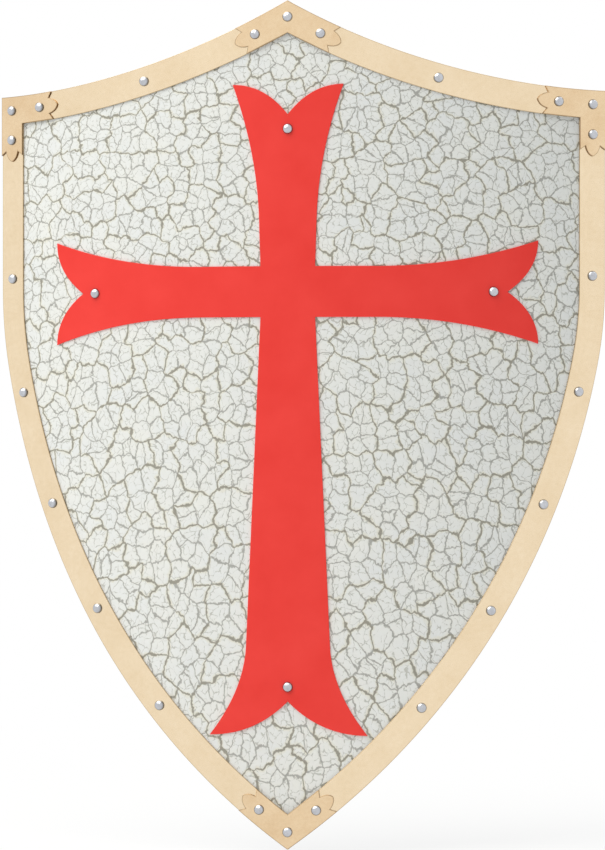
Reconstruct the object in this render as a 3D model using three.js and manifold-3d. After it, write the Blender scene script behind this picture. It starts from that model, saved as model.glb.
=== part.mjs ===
import * as THREE from 'three';
import { mergeVertices } from 'three/addons/utils/BufferGeometryUtils.js';
import Module from 'manifold-3d';

// A bowed heater shield in sheet steel with a riveted cross, a brass rim and arm straps behind.
// Millimetres. X runs to the viewer's right, Z up to the peak, and the front faces -Y.
// The origin is the middle of the hanger clip's flat outer face.

// Panel: the flat blank, then the roll about an upright axis
const shieldHeight = 700;
const blankWidth = 538;
const bendRadius = 486;
const panelThickness = 1.5;
const cornerDrop = 72;
const topScoopRadius = 553;
const straightSide = 163;
const shoulderRadius = 313;
const shoulderTurn = THREE.MathUtils.degToRad(12);

// Rim strips
const stripWidth = 23.5;
const stripThickness = 1;
const mitreGap = 0.5;
const sideRivetCount = 5;
const firstSideRivetShare = 0.183;
const lastSideRivetShare = 0.808;

// Corner plates: each arm's length runs from the corner to the cusps at its end
const plateThickness = 1;
const peakArm = 49.5;
const cornerTopArm = 54.5;
const cornerSideArm = 49.5;
const tipArm = 52;
const plateRivetSetback = 13;
const cuspCutDepth = 3.5;
const cuspCutShare = 0.22;
const lobeShoulderReach = 3.5;
const lobeShoulderShare = 0.28;
const lobeReach = 5.3;

// Cross plate
const crossThickness = 1;
const crossDrop = 240;
const headRimClearance = 69;
const beamRimClearance = 36.5;
const footTipClearance = 94;
const footRimClearance = 8.8;
const barHalfWidth = 22.8;
const headNeckHalfWidth = 24;
const headHalfWidth = 46.3;
const headFlare = 111;
const headFork = 24.8;
const beamHalfWidth = 21;
const beamEndHalfWidth = 42.8;
const beamFlare = 134;
const beamFork = 26.5;
const footNeckHalfWidth = 35;
const footFlare = 74;
const footFork = 28;
const forkFullnessShare = 0.42;
const crossRivetSetback = 12;

// Rivets
const rivetHeadRadius = 4.2;
const rivetHeadHeight = 2.9;
const rivetShankRadius = 2;
const rivetHoleClearance = 0.35;
const rivetTailRadius = 3.3;
const rivetTailHeight = 1.4;

// Hanger clip and ring
const hangerDrop = 65;
const clipWidth = 18;
const clipThickness = 2;
const clipFootLength = 14;
const ringWire = 5;
const ringInnerWidth = 30;
const ringInnerDrop = 24;
const ringCornerRadius = 6;
const ringStandoff = 4.2;

// Strap staples
const stapleRod = 6;
const stapleStandoff = 9.5;
const stapleBend = 5;
const stapleStrapClearance = 2;
const weldRadius = 5.2;
const weldThroat = 3.4;
const weldHeight = 2.4;

// Straps
const strapThickness = 3.2;
const foldGap = 0.35;
const foldLength = 14;
const foldTailLength = 27;
const strapRivetSetback = 20.5;
const strapRivetHeadRadius = 4.5;
const strapRivetHeadHeight = 1.6;
const strapRivetShankRadius = 1.8;
const armLineDrop = 300;
const armSideClearance = 157;
const armStrapWidth = 30;
const armLoopHeight = 170;
const armLoopDepth = 98;
const armLoopCorner = 34;
const gripSideClearance = 165;
const gripWidth = 28;
const gripLoopHeight = 120;
const gripLoopDepth = 60;
const gripLoopCorner = 20;

// Buckle on the forearm strap
const buckleWire = 4.2;
const buckleLength = 24;
const buckleSideClearance = 2;
const buckleCornerRadius = 4;
const buckleDrop = 8;
const runningGap = 0.35;
const rollerWall = 0.9;
const rollerEndClearance = 2.5;
const prongRadius = 1.3;
const prongEyeWall = 1.7;
const prongEyeWidth = 4;
const prongOverhang = 4.5;
const prongSlotWidth = 7;
const prongSlotDrop = 9;
const prongSlotRise = 6.5;
const prongHoleLength = 15;
const prongHoleWidth = 4.6;
const prongHolePitch = 20;
const prongHoleReach = 4;
const spareHolesOut = 2;
const spareHolesIn = 1;
const tongueReach = 56;
const tongueTipLength = 14;
const keeperRise = 15;
const keeperHeight = 12;
const keeperThickness = 2.4;
const keeperCornerRadius = 3;

// Gaps between pieces that touch, and how far a cutter runs past what it cuts
const seatGap = 0.3;
const cutOverrun = 2;

// Steps of the round forms
const facetCount = 21;
const topSteps = 10;
const shoulderSteps = 3;
const lowerSideSteps = 16;
const plateArmSteps = 3;
const lobeSteps = 4;
const flareSteps = 6;
const forkSteps = 5;
const domeSides = 8;
const domeSteps = 3;
const rodSides = 8;
const stapleSteps = 11;
const loopSteps = 32;
const bendSteps = 6;
const wrapSteps = 8;
const punchSteps = 4;

// Points nearer to each other than this are one point
const mergeDistance = 1e-4;

function paint(color, roughness, metalness) {
  return new THREE.MeshStandardMaterial({ color, roughness, metalness });
}

const crackledPaint = paint(0xeff0eb, 0.55, 0);
const redEnamel = paint(0xe94a42, 0.3, 0);
const paleBrass = paint(0xe4cfa6, 0.35, 0.9);
const warmBrass = paint(0xe6c48c, 0.32, 0.9);
const brightSteel = paint(0xc9ccd2, 0.25, 1);
const fittingSteel = paint(0x8d9094, 0.45, 1);
const strapLeather = paint(0x5b3a24, 0.65, 0);

const shield = new THREE.Group();

function addPiece(name, geometry, material) {
  const mesh = new THREE.Mesh(geometry, material.clone());
  mesh.name = name;
  shield.add(mesh);
}

// Solids: geometry to a solid that can be joined and cut, and back again
const wasm = await Module();
wasm.setup();

function toSolid(geometry) {
  const positions = new THREE.BufferGeometry();
  positions.setAttribute('position', geometry.getAttribute('position'));
  positions.setIndex(geometry.getIndex());
  const merged = mergeVertices(positions, mergeDistance);
  return new wasm.Manifold(new wasm.Mesh({
    numProp: 3,
    vertProperties: new Float32Array(merged.getAttribute('position').array),
    triVerts: new Uint32Array(merged.getIndex().array),
  }));
}

function toGeometry(solid) {
  const mesh = solid.getMesh();
  const geometry = new THREE.BufferGeometry();
  geometry.setAttribute('position', new THREE.BufferAttribute(mesh.vertProperties, mesh.numProp));
  geometry.setIndex(new THREE.BufferAttribute(mesh.triVerts, 1));
  return geometry.toNonIndexed();
}

function joined(geometries) {
  return toGeometry(wasm.Manifold.union(geometries.map(toSolid)));
}

function punched(geometry, punches) {
  return toGeometry(toSolid(geometry).subtract(wasm.Manifold.union(punches.map(toSolid))));
}

// Rolled surface: a flat blank turns into equal flat facets about the upright axis of the bow
const halfBlank = blankWidth / 2;
const facetWidth = blankWidth / facetCount;
const facetTurn = facetWidth / bendRadius;
const apothem = bendRadius * Math.cos(facetTurn / 2);
const clipHeight = ringStandoff + ringWire / 2 + seatGap + clipThickness;
const bowAxisY = apothem - panelThickness - clipHeight;

function facetTurnAt(along) {
  return Math.round(along / facetWidth) * facetTurn;
}

// Point of the rolled shield: run along the blank, height, and distance out from the panel's front
function rolled(along, height, out) {
  const turn = facetTurnAt(along);
  const reach = apothem + out;
  const facetShare = along / facetWidth - Math.round(along / facetWidth);
  const aside = facetShare * 2 * reach * Math.tan(facetTurn / 2);
  return new THREE.Vector3(
    reach * Math.sin(turn) + aside * Math.cos(turn),
    bowAxisY - reach * Math.cos(turn) + aside * Math.sin(turn),
    height,
  );
}

// Front frame: X along the roll, Y up, Z out of the front
function frontFrame(place) {
  const turn = facetTurnAt(place.x);
  return new THREE.Matrix4().makeBasis(
    new THREE.Vector3(Math.cos(turn), Math.sin(turn), 0),
    new THREE.Vector3(0, 0, 1),
    new THREE.Vector3(Math.sin(turn), -Math.cos(turn), 0),
  ).setPosition(rolled(place.x, place.y, 0));
}

// Back frame on the panel's rear face: X along the roll, Y away behind, Z up
function backFrame(along, height) {
  return new THREE.Matrix4().makeRotationZ(facetTurnAt(along))
    .setPosition(rolled(along, height, -panelThickness));
}

// Rolls a flat piece that lies within one facet: Z is its distance out from the rear face
function bent(geometry, rearOut) {
  const positions = geometry.getAttribute('position');
  const flat = new THREE.Vector3();
  for (let i = 0; i < positions.count; i += 1) {
    flat.fromBufferAttribute(positions, i);
    const { x, y, z } = rolled(flat.x, flat.y, rearOut + flat.z);
    positions.setXYZ(i, x, y, z);
  }
  return geometry;
}

// Sheet from a flat outline: cut at the bend lines, rolled facet by facet, and joined again
function rolledSheet(outline, rearOut, thickness) {
  const flat = new THREE.ExtrudeGeometry(new THREE.Shape(outline), { depth: thickness, bevelEnabled: false });
  const facets = [];
  let rest = toSolid(flat);
  for (let facet = 1; facet < facetCount; facet += 1) {
    const [after, before] = rest.splitByPlane([1, 0, 0], facet * facetWidth - halfBlank);
    facets.push(before);
    rest = after;
  }
  facets.push(rest);
  return joined(facets.filter((facet) => !facet.isEmpty()).map((facet) => bent(toGeometry(facet), rearOut)));
}

// Outline of the blank's right half: a scooped top arc, a straight side, a shoulder arc and a long lower arc
const peakHeight = hangerDrop;
const cornerHeight = peakHeight - cornerDrop;
const tipHeight = peakHeight - shieldHeight;
const topChord = new THREE.Vector2(halfBlank, -cornerDrop);
const topCentre = new THREE.Vector2(cornerDrop, halfBlank)
  .setLength(Math.sqrt(topScoopRadius ** 2 - topChord.lengthSq() / 4))
  .addScaledVector(topChord, 1 / 2)
  .add(new THREE.Vector2(0, peakHeight));
const shoulderCentre = new THREE.Vector2(halfBlank - shoulderRadius, cornerHeight - straightSide);
const lowerDirection = new THREE.Vector2(Math.cos(shoulderTurn), -Math.sin(shoulderTurn));
const lowerStart = shoulderCentre.clone().addScaledVector(lowerDirection, shoulderRadius);
const lowerRun = new THREE.Vector2(lowerStart.x, lowerStart.y - tipHeight);
const lowerRadius = lowerRun.lengthSq() / (2 * lowerRun.dot(lowerDirection));
const lowerCentre = lowerStart.clone().addScaledVector(lowerDirection, -lowerRadius);

function topHeight(along, inset) {
  return topCentre.y - Math.sqrt((topScoopRadius + inset) ** 2 - (along - topCentre.x) ** 2);
}

// Half width of the outline at a height on its lower arc
function lowerHalfWidth(height, inset) {
  return lowerCentre.x + Math.sqrt((lowerRadius - inset) ** 2 - (height - lowerCentre.y) ** 2);
}

function arc(centre, radius, from, to) {
  return new THREE.ArcCurve(centre.x, centre.y, radius, from, to, to < from);
}

function topArc(inset) {
  const angleAt = (along) => Math.atan2(topHeight(along, inset) - topCentre.y, along - topCentre.x);
  return arc(topCentre, topScoopRadius + inset, angleAt(0), angleAt(halfBlank - inset));
}

function sideCurves(inset) {
  const side = halfBlank - inset;
  const tipTurn = Math.acos(-lowerCentre.x / (lowerRadius - inset));
  return [
    new THREE.LineCurve(
      new THREE.Vector2(side, topHeight(side, inset)),
      new THREE.Vector2(side, shoulderCentre.y),
    ),
    arc(shoulderCentre, shoulderRadius - inset, 0, -shoulderTurn),
    arc(lowerCentre, lowerRadius - inset, -shoulderTurn, -tipTurn),
  ];
}

function topPoints(inset) {
  return topArc(inset).getPoints(topSteps);
}

function sidePoints(inset) {
  const steps = [1, shoulderSteps, lowerSideSteps];
  return sideCurves(inset).flatMap((curve, i) => curve.getPoints(steps[i]).slice(i === 0 ? 0 : 1));
}

function mirrored(points) {
  return points.map(({ x, y }) => new THREE.Vector2(-x, y)).reverse();
}

// Whole outline from its right half, which starts and ends on the middle line
function doubled(half) {
  return [...half, ...mirrored(half).slice(1, -1)];
}

// The rim's two edges run from the peak to the corner and from the corner to the tip
function edgeOf(curves) {
  const edge = new THREE.CurvePath();
  curves.forEach((curve) => edge.add(curve));
  return edge;
}

const topRim = edgeOf([topArc(0)]);
const sideRim = edgeOf(sideCurves(0));
const outerPeak = new THREE.Vector2(0, peakHeight);
const outerCorner = new THREE.Vector2(halfBlank, cornerHeight);
const outerTip = new THREE.Vector2(0, tipHeight);
const peakAt = (inset) => new THREE.Vector2(0, topHeight(0, inset));
const cornerAt = (inset) => sidePoints(inset)[0];
const tipAt = (inset) => sidePoints(inset).at(-1);

// Point in from the rim, at a distance along it from its first end or back from its last
function onRim(rim, fromFirst, distance, inset) {
  const share = distance / rim.getLength();
  const place = fromFirst ? share : 1 - share;
  const tangent = rim.getTangentAt(place);
  return rim.getPointAt(place).addScaledVector(new THREE.Vector2(tangent.y, -tangent.x), inset);
}

// Rivet along its own axis: domed head out at +Z, shank, and a spread tail behind
function rivet(head, shankRadius, headSeat, tailSeat) {
  const profile = [
    [0, tailSeat - head.tailHeight],
    [shankRadius, tailSeat - head.tailHeight],
    [head.tailRadius, tailSeat],
    [shankRadius, tailSeat],
    [shankRadius, headSeat],
  ].map(([x, y]) => new THREE.Vector2(x, y));
  for (let step = 0; step < domeSteps; step += 1) {
    const turn = step / domeSteps * Math.PI / 2;
    profile.push(new THREE.Vector2(head.radius * Math.cos(turn), headSeat + head.height * Math.sin(turn)));
  }
  profile.push(new THREE.Vector2(0, headSeat + head.height));
  return new THREE.LatheGeometry(profile, domeSides).rotateX(Math.PI / 2);
}

function rivetPunch(shankRadius, from, to) {
  const radius = shankRadius + rivetHoleClearance;
  const length = to - from + cutOverrun * 2;
  return new THREE.CylinderGeometry(radius, radius, length, domeSides)
    .rotateX(Math.PI / 2).translate(0, 0, (from + to) / 2);
}

// Layers out from the panel's front
const stripFront = seatGap + stripThickness;
const plateRear = stripFront + seatGap;
const plateFront = plateRear + plateThickness;
const crossFront = seatGap + crossThickness;

// Cross: each arm flares from its neck to a forked end
const crossHeight = peakHeight - crossDrop;
const beamReach = halfBlank - stripWidth - beamRimClearance;
const footHeight = tipHeight + footTipClearance;
const headArm = {
  turn: 0,
  reach: crossDrop - headRimClearance,
  root: beamHalfWidth,
  rootHalf: barHalfWidth,
  neckHalf: headNeckHalfWidth,
  endHalf: headHalfWidth,
  flare: headFlare,
  fork: headFork,
};
const leftArm = {
  turn: Math.PI / 2,
  reach: beamReach,
  root: barHalfWidth,
  rootHalf: beamHalfWidth,
  neckHalf: beamHalfWidth,
  endHalf: beamEndHalfWidth,
  flare: beamFlare,
  fork: beamFork,
};
const footArm = {
  turn: Math.PI,
  reach: crossHeight - footHeight,
  root: beamHalfWidth,
  rootHalf: barHalfWidth,
  neckHalf: footNeckHalfWidth,
  endHalf: lowerHalfWidth(footHeight, stripWidth) - footRimClearance,
  flare: footFlare,
  fork: footFork,
};
const rightArm = { ...leftArm, turn: -Math.PI / 2 };
const crossArms = { head: headArm, left: leftArm, foot: footArm, right: rightArm };

function crossPoint(arm, aside, outward) {
  const point = new THREE.Vector2(aside, outward).rotateAround(new THREE.Vector2(0, 0), arm.turn);
  return point.add(new THREE.Vector2(0, crossHeight));
}

function armOutline(arm) {
  const neck = arm.reach - arm.flare;
  const taper = (arm.neckHalf - arm.rootHalf) / (neck - arm.root) * arm.flare;
  const half = [new THREE.Vector2(arm.rootHalf, arm.root)];
  for (let step = 0; step <= flareSteps; step += 1) {
    const share = step / flareSteps;
    const spread = (arm.endHalf - arm.neckHalf - taper) * share ** 2;
    half.push(new THREE.Vector2(arm.neckHalf + taper * share + spread, neck + arm.flare * share));
  }
  const fork = new THREE.QuadraticBezierCurve(
    new THREE.Vector2(arm.endHalf, arm.reach),
    new THREE.Vector2(arm.endHalf * forkFullnessShare, arm.reach),
    new THREE.Vector2(0, arm.reach - arm.fork),
  );
  half.push(...fork.getPoints(forkSteps).slice(1));
  return [...half, ...mirrored(half).slice(1, -1)].map(({ x, y }) => crossPoint(arm, x, y));
}

// Front rivets by name: the place on the blank, and the layer that the head sits on
const midStrip = stripWidth / 2;
const frontRivets = [];

function addRivet(name, place, layer) {
  frontRivets.push({ name, place, layer });
}

function addRivetPair(name, place, layer) {
  addRivet(`right_${name}`, place, layer);
  addRivet(`left_${name}`, new THREE.Vector2(-place.x, place.y), layer);
}

function plateRivetPlace(rim, fromFirst, arm) {
  return onRim(rim, fromFirst, arm - plateRivetSetback, midStrip);
}

addRivet('peak_rivet', peakAt(midStrip), plateFront);
addRivetPair('peak_arm_rivet', plateRivetPlace(topRim, true, peakArm), plateFront);
addRivetPair('corner_top_rivet', plateRivetPlace(topRim, false, cornerTopArm), plateFront);
addRivetPair('corner_rivet', cornerAt(midStrip), plateFront);
addRivetPair('corner_side_rivet', plateRivetPlace(sideRim, true, cornerSideArm), plateFront);
addRivetPair('tip_arm_rivet', plateRivetPlace(sideRim, false, tipArm), plateFront);
addRivet('tip_rivet', tipAt(midStrip), plateFront);

const topRivetDistance = (topRim.getLength() + peakArm - cornerTopArm) / 2;
addRivetPair('top_strip_rivet', onRim(topRim, true, topRivetDistance, midStrip), stripFront);
const sideRivetStart = cornerSideArm - plateRivetSetback;
const sideRivetEnd = sideRim.getLength() - tipArm + plateRivetSetback;
for (let i = 0; i < sideRivetCount; i += 1) {
  const share = THREE.MathUtils.lerp(firstSideRivetShare, lastSideRivetShare, i / (sideRivetCount - 1));
  const distance = THREE.MathUtils.lerp(sideRivetStart, sideRivetEnd, share);
  addRivetPair(`side_strip_rivet_${i + 1}`, onRim(sideRim, true, distance, midStrip), stripFront);
}
for (const [name, arm] of Object.entries(crossArms)) {
  addRivet(`cross_${name}_rivet`, crossPoint(arm, 0, arm.reach - arm.fork - crossRivetSetback), crossFront);
}
const rivetPunches = frontRivets.map(({ place }) => (
  rivetPunch(rivetShankRadius, -panelThickness, plateFront).applyMatrix4(frontFrame(place))
));

function riveted(outline, rearOut, thickness) {
  return punched(rolledSheet(outline, rearOut, thickness), rivetPunches);
}

// Panel
const panelOutline = doubled([...topPoints(0), ...sidePoints(0).slice(1)]);
addPiece('shield_panel', riveted(panelOutline, -panelThickness, panelThickness), crackledPaint);

// Rim strips, mitred with a small gap at the peak, the corners and the tip
function stripPoints(points) {
  return points.map(({ x, y }) => new THREE.Vector2(Math.max(x, mitreGap / 2), y));
}

function topStripPoints(inset) {
  const end = halfBlank - inset - mitreGap;
  return [...stripPoints(topPoints(inset).slice(0, -1)), new THREE.Vector2(end, topHeight(end, inset))];
}

const topStrip = [...topStripPoints(0), ...topStripPoints(stripWidth).reverse()];
const sideStrip = [...stripPoints(sidePoints(0)), ...stripPoints(sidePoints(stripWidth)).reverse()];
addPiece('right_top_strip', riveted(topStrip, seatGap, stripThickness), paleBrass);
addPiece('left_top_strip', riveted(mirrored(topStrip), seatGap, stripThickness), paleBrass);
addPiece('right_side_strip', riveted(sideStrip, seatGap, stripThickness), paleBrass);
addPiece('left_side_strip', riveted(mirrored(sideStrip), seatGap, stripThickness), paleBrass);

// Corner plate arm, from its outer edge round to its inner cusp: a pointed lobe between two cuts
function plateArm(rim, fromFirst, length) {
  const outer = [];
  for (let step = 1; step < plateArmSteps; step += 1) {
    outer.push(onRim(rim, fromFirst, length * step / plateArmSteps, 0));
  }
  const flank = new THREE.QuadraticBezierCurve(
    new THREE.Vector2(cuspCutShare, -cuspCutDepth),
    new THREE.Vector2(lobeShoulderShare, lobeShoulderReach),
    new THREE.Vector2(1 / 2, lobeReach),
  ).getPoints(lobeSteps);
  const end = [new THREE.Vector2(0, 0), ...flank];
  const otherFlank = end.slice(0, -1).reverse().map(({ x, y }) => new THREE.Vector2(1 - x, y));
  const ornament = [...end, ...otherFlank];
  return [...outer, ...ornament.map(({ x, y }) => onRim(rim, fromFirst, length + y, x * stripWidth))];
}

const peakPlate = doubled([outerPeak, ...plateArm(topRim, true, peakArm), peakAt(stripWidth)]);
const tipPlate = doubled([outerTip, ...plateArm(sideRim, false, tipArm), tipAt(stripWidth)]);
const cornerPlate = [
  outerCorner,
  ...plateArm(topRim, false, cornerTopArm),
  cornerAt(stripWidth),
  ...plateArm(sideRim, true, cornerSideArm).reverse(),
];
addPiece('peak_plate', riveted(peakPlate, plateRear, plateThickness), warmBrass);
addPiece('right_corner_plate', riveted(cornerPlate, plateRear, plateThickness), warmBrass);
addPiece('left_corner_plate', riveted(mirrored(cornerPlate), plateRear, plateThickness), warmBrass);
addPiece('tip_plate', riveted(tipPlate, plateRear, plateThickness), warmBrass);

// Cross plate
const crossOutline = Object.values(crossArms).flatMap(armOutline);
addPiece('cross_plate', riveted(crossOutline, seatGap, crossThickness), redEnamel);

// Front rivets
const domedHead = {
  radius: rivetHeadRadius,
  height: rivetHeadHeight,
  tailRadius: rivetTailRadius,
  tailHeight: rivetTailHeight,
};
for (const { name, place, layer } of frontRivets) {
  const body = rivet(domedHead, rivetShankRadius, layer + seatGap, -panelThickness - seatGap);
  addPiece(name, body.applyMatrix4(frontFrame(place)), brightSteel);
}

// Back pieces are drawn in the back frame, as profiles in Y and Z that run along X
const profileTurn = new THREE.Matrix4().makeBasis(
  new THREE.Vector3(0, 1, 0),
  new THREE.Vector3(0, 0, 1),
  new THREE.Vector3(1, 0, 0),
);

function profileBar(outline, length) {
  return new THREE.ExtrudeGeometry(outline, { depth: length, bevelEnabled: false, curveSegments: domeSides })
    .translate(0, 0, -length / 2).applyMatrix4(profileTurn);
}

// Closed wire along a path in X and Z
function wireLoop(path, wire) {
  const points = path.getSpacedPoints(loopSteps).slice(0, -1);
  const curve = new THREE.CatmullRomCurve3(points.map(({ x, y }) => new THREE.Vector3(x, 0, y)), true);
  return new THREE.TubeGeometry(curve, loopSteps, wire / 2, rodSides, true);
}

// Hanger clip: a bent flat bar that bridges the ring's straight side
function clipProfile() {
  const tunnelHalf = ringWire / 2 + seatGap;
  const bridgeHalf = tunnelHalf + clipThickness;
  const footEnd = bridgeHalf + clipFootLength;
  const footTop = seatGap + clipThickness;
  const upper = [
    [clipHeight, bridgeHalf],
    [footTop, bridgeHalf],
    [footTop, footEnd],
    [seatGap, footEnd],
    [seatGap, tunnelHalf],
    [clipHeight - clipThickness, tunnelHalf],
  ].map(([y, z]) => new THREE.Vector2(y, z));
  const lower = upper.map(({ x, y }) => new THREE.Vector2(x, -y)).reverse();
  return new THREE.Shape([...upper, ...lower]);
}

function hangingRing() {
  const half = (ringInnerWidth + ringWire) / 2;
  const drop = ringInnerDrop + ringWire;
  const path = new THREE.Path();
  path.absarc(half - ringCornerRadius, -ringCornerRadius, ringCornerRadius, 0, Math.PI / 2);
  path.absarc(ringCornerRadius - half, -ringCornerRadius, ringCornerRadius, Math.PI / 2, Math.PI);
  path.absarc(0, half - drop, half, Math.PI, Math.PI * 2);
  path.closePath();
  return wireLoop(path, ringWire).translate(0, ringStandoff, 0);
}

const hangerFrame = backFrame(0, 0);
addPiece('hanger_clip', profileBar(clipProfile(), clipWidth).applyMatrix4(hangerFrame), fittingSteel);
addPiece('hanging_ring', hangingRing().applyMatrix4(hangerFrame), fittingSteel);

// Height of the rear face beside a place, where the next facets rise towards the back
function rearRise(place, aside) {
  const lift = rolled(place + aside, 0, -panelThickness).sub(rolled(place, 0, -panelThickness));
  const turn = facetTurnAt(place);
  return lift.dot(new THREE.Vector3(-Math.sin(turn), Math.cos(turn), 0));
}

// Staple: a bent rod with both feet welded to the panel
function staple(place, strapWidth) {
  const leg = strapWidth / 2 + stapleStrapClearance + stapleRod / 2;
  const footAt = (aside) => {
    const edges = [aside - weldRadius, aside + weldRadius].map((edge) => rearRise(place, edge));
    return Math.max(...edges) + seatGap;
  };
  const at = (x, y) => new THREE.Vector3(x, y, 0);
  const footHeights = [-leg, leg].map(footAt);
  const rodStarts = footHeights.map((height) => height + weldHeight / 2);
  const path = new THREE.CurvePath();
  path.add(new THREE.LineCurve3(at(-leg, rodStarts[0]), at(-leg, stapleStandoff - stapleBend)));
  path.add(new THREE.QuadraticBezierCurve3(
    at(-leg, stapleStandoff - stapleBend), at(-leg, stapleStandoff), at(stapleBend - leg, stapleStandoff),
  ));
  path.add(new THREE.LineCurve3(at(stapleBend - leg, stapleStandoff), at(leg - stapleBend, stapleStandoff)));
  path.add(new THREE.QuadraticBezierCurve3(
    at(leg - stapleBend, stapleStandoff), at(leg, stapleStandoff), at(leg, stapleStandoff - stapleBend),
  ));
  path.add(new THREE.LineCurve3(at(leg, stapleStandoff - stapleBend), at(leg, rodStarts[1])));
  const section = new THREE.Shape().absarc(0, 0, stapleRod / 2, 0, Math.PI * 2);
  const rod = new THREE.ExtrudeGeometry(section, {
    steps: stapleSteps,
    curveSegments: rodSides,
    extrudePath: path,
  });
  const welds = footHeights.map((height, i) => (
    new THREE.CylinderGeometry(weldThroat, weldRadius, weldHeight, domeSides)
      .translate(i === 0 ? -leg : leg, height + weldHeight / 2, 0)
  ));
  return joined([rod, ...welds]);
}

// Strap: a flat band of even thickness along a path in Y and Z
function strapBand(path, width) {
  const points = path.filter((point, i) => i === 0 || point.distanceTo(path[i - 1]) > mergeDistance);
  const normals = points.slice(1).map((point, i) => {
    const run = point.clone().sub(points[i]).normalize();
    return new THREE.Vector2(-run.y, run.x);
  });
  const edge = (side) => points.map((point, i) => {
    const before = normals[Math.max(i - 1, 0)];
    const after = normals[Math.min(i, normals.length - 1)];
    const reach = strapThickness / 2 * side / (1 + before.dot(after));
    return point.clone().addScaledVector(before, reach).addScaledVector(after, reach);
  });
  return profileBar(new THREE.Shape([...edge(1), ...edge(-1).reverse()]), width);
}

const upward = new THREE.Vector2(0, 1);
const downward = new THREE.Vector2(0, -1);
const behind = new THREE.Vector2(1, 0);
const inward = new THREE.Vector2(-1, 0);

function wrapRadius(rodDiameter) {
  return rodDiameter / 2 + foldGap + strapThickness / 2;
}

// Strap end folded round a bar: from the tail, round the bar, to where the strap runs off
function fold(bar, rodDiameter, run, tail) {
  const wrap = wrapRadius(rodDiameter);
  const tailAside = strapThickness + foldGap - wrap;
  const at = (out, aside) => bar.clone().addScaledVector(run, out).addScaledVector(tail, aside);
  const closing = new THREE.CubicBezierCurve(
    at(foldLength, tailAside), at(foldLength / 2, tailAside), at(foldLength / 2, wrap), at(0, wrap),
  );
  const around = Array.from({ length: wrapSteps + 1 }, (_, i) => {
    const turn = i / wrapSteps * Math.PI;
    return at(-wrap * Math.sin(turn), wrap * Math.cos(turn));
  });
  return [at(foldTailLength, tailAside), ...closing.getPoints(bendSteps), ...around];
}

// Strap corner: a quarter turn from a run straight out behind to a run up or down
function strapCorner(depth, height, radius, side) {
  const centre = new THREE.Vector2(depth - radius, side * (height - radius));
  return arc(centre, radius, side * Math.PI / 2, 0).getPoints(bendSteps);
}

// Rivet through a folded strap end, and the punch for its hole
const flatHead = {
  radius: strapRivetHeadRadius,
  height: strapRivetHeadHeight,
  tailRadius: strapRivetHeadRadius,
  tailHeight: strapRivetHeadHeight,
};
const foldRear = -strapThickness / 2;
const foldFront = strapThickness * 3 / 2 + foldGap;

function foldRivetFrame(bar, side) {
  const across = new THREE.Vector3(side, 0, 0);
  const outward = new THREE.Vector3(0, 0, side);
  return new THREE.Matrix4().makeBasis(across, new THREE.Vector3(0, 1, 0), outward)
    .setPosition(0, bar.x + strapRivetSetback, bar.y - side * wrapRadius(stapleRod));
}

function foldRivet(bar, side) {
  return rivet(flatHead, strapRivetShankRadius, foldFront + seatGap, foldRear - seatGap)
    .applyMatrix4(foldRivetFrame(bar, side));
}

function foldRivetPunch(bar, side) {
  return rivetPunch(strapRivetShankRadius, foldRear, foldFront).applyMatrix4(foldRivetFrame(bar, side));
}

// Both loops hold to two staples, above and below the arm line
const armLineHeight = peakHeight - armLineDrop;
const armPlace = halfBlank - armSideClearance;
const gripPlace = gripSideClearance - halfBlank;
const armFrame = backFrame(armPlace, armLineHeight);
const gripFrame = backFrame(gripPlace, armLineHeight);
const stapleSides = { upper: 1, lower: -1 };

function barAt(loopHeight, side) {
  return new THREE.Vector2(stapleStandoff, side * loopHeight / 2);
}

for (const [name, side] of Object.entries(stapleSides)) {
  const armBar = barAt(armLoopHeight, side);
  const gripBar = barAt(gripLoopHeight, side);
  const armStaple = staple(armPlace, armStrapWidth).translate(0, 0, armBar.y);
  const gripStaple = staple(gripPlace, gripWidth).translate(0, 0, gripBar.y);
  addPiece(`arm_${name}_staple`, armStaple.applyMatrix4(armFrame), fittingSteel);
  addPiece(`grip_${name}_staple`, gripStaple.applyMatrix4(gripFrame), fittingSteel);
  addPiece(`arm_${name}_strap_rivet`, foldRivet(armBar, side).applyMatrix4(armFrame), brightSteel);
  addPiece(`grip_${name}_strap_rivet`, foldRivet(gripBar, side).applyMatrix4(gripFrame), brightSteel);
}

// Hand grip: one strap folded round both staples
const gripUpper = barAt(gripLoopHeight, 1);
const gripLower = barAt(gripLoopHeight, -1);
const gripRun = gripUpper.y - wrapRadius(stapleRod);
const gripPath = [
  ...fold(gripUpper, stapleRod, behind, upward),
  ...strapCorner(gripLoopDepth, gripRun, gripLoopCorner, 1),
  ...strapCorner(gripLoopDepth, gripRun, gripLoopCorner, -1).reverse(),
  ...fold(gripLower, stapleRod, behind, downward).reverse(),
];
const gripStrap = punched(strapBand(gripPath, gripWidth), [
  foldRivetPunch(gripUpper, 1),
  foldRivetPunch(gripLower, -1),
]);
addPiece('grip_strap', gripStrap.applyMatrix4(gripFrame), strapLeather);

// Forearm buckle: the heel bar carries the strap and the prong, the front bar carries the roller
const armUpper = barAt(armLoopHeight, 1);
const armLower = barAt(armLoopHeight, -1);
const armRun = armUpper.y - wrapRadius(stapleRod);
const heelBar = new THREE.Vector2(armLoopDepth - wrapRadius(buckleWire), -buckleDrop);
const frontBar = new THREE.Vector2(heelBar.x, heelBar.y - buckleLength);
const boreRadius = buckleWire / 2 + runningGap;
const rollerRadius = boreRadius + rollerWall;
const buckleHalf = armStrapWidth / 2 + buckleSideClearance + buckleWire / 2;

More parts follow.
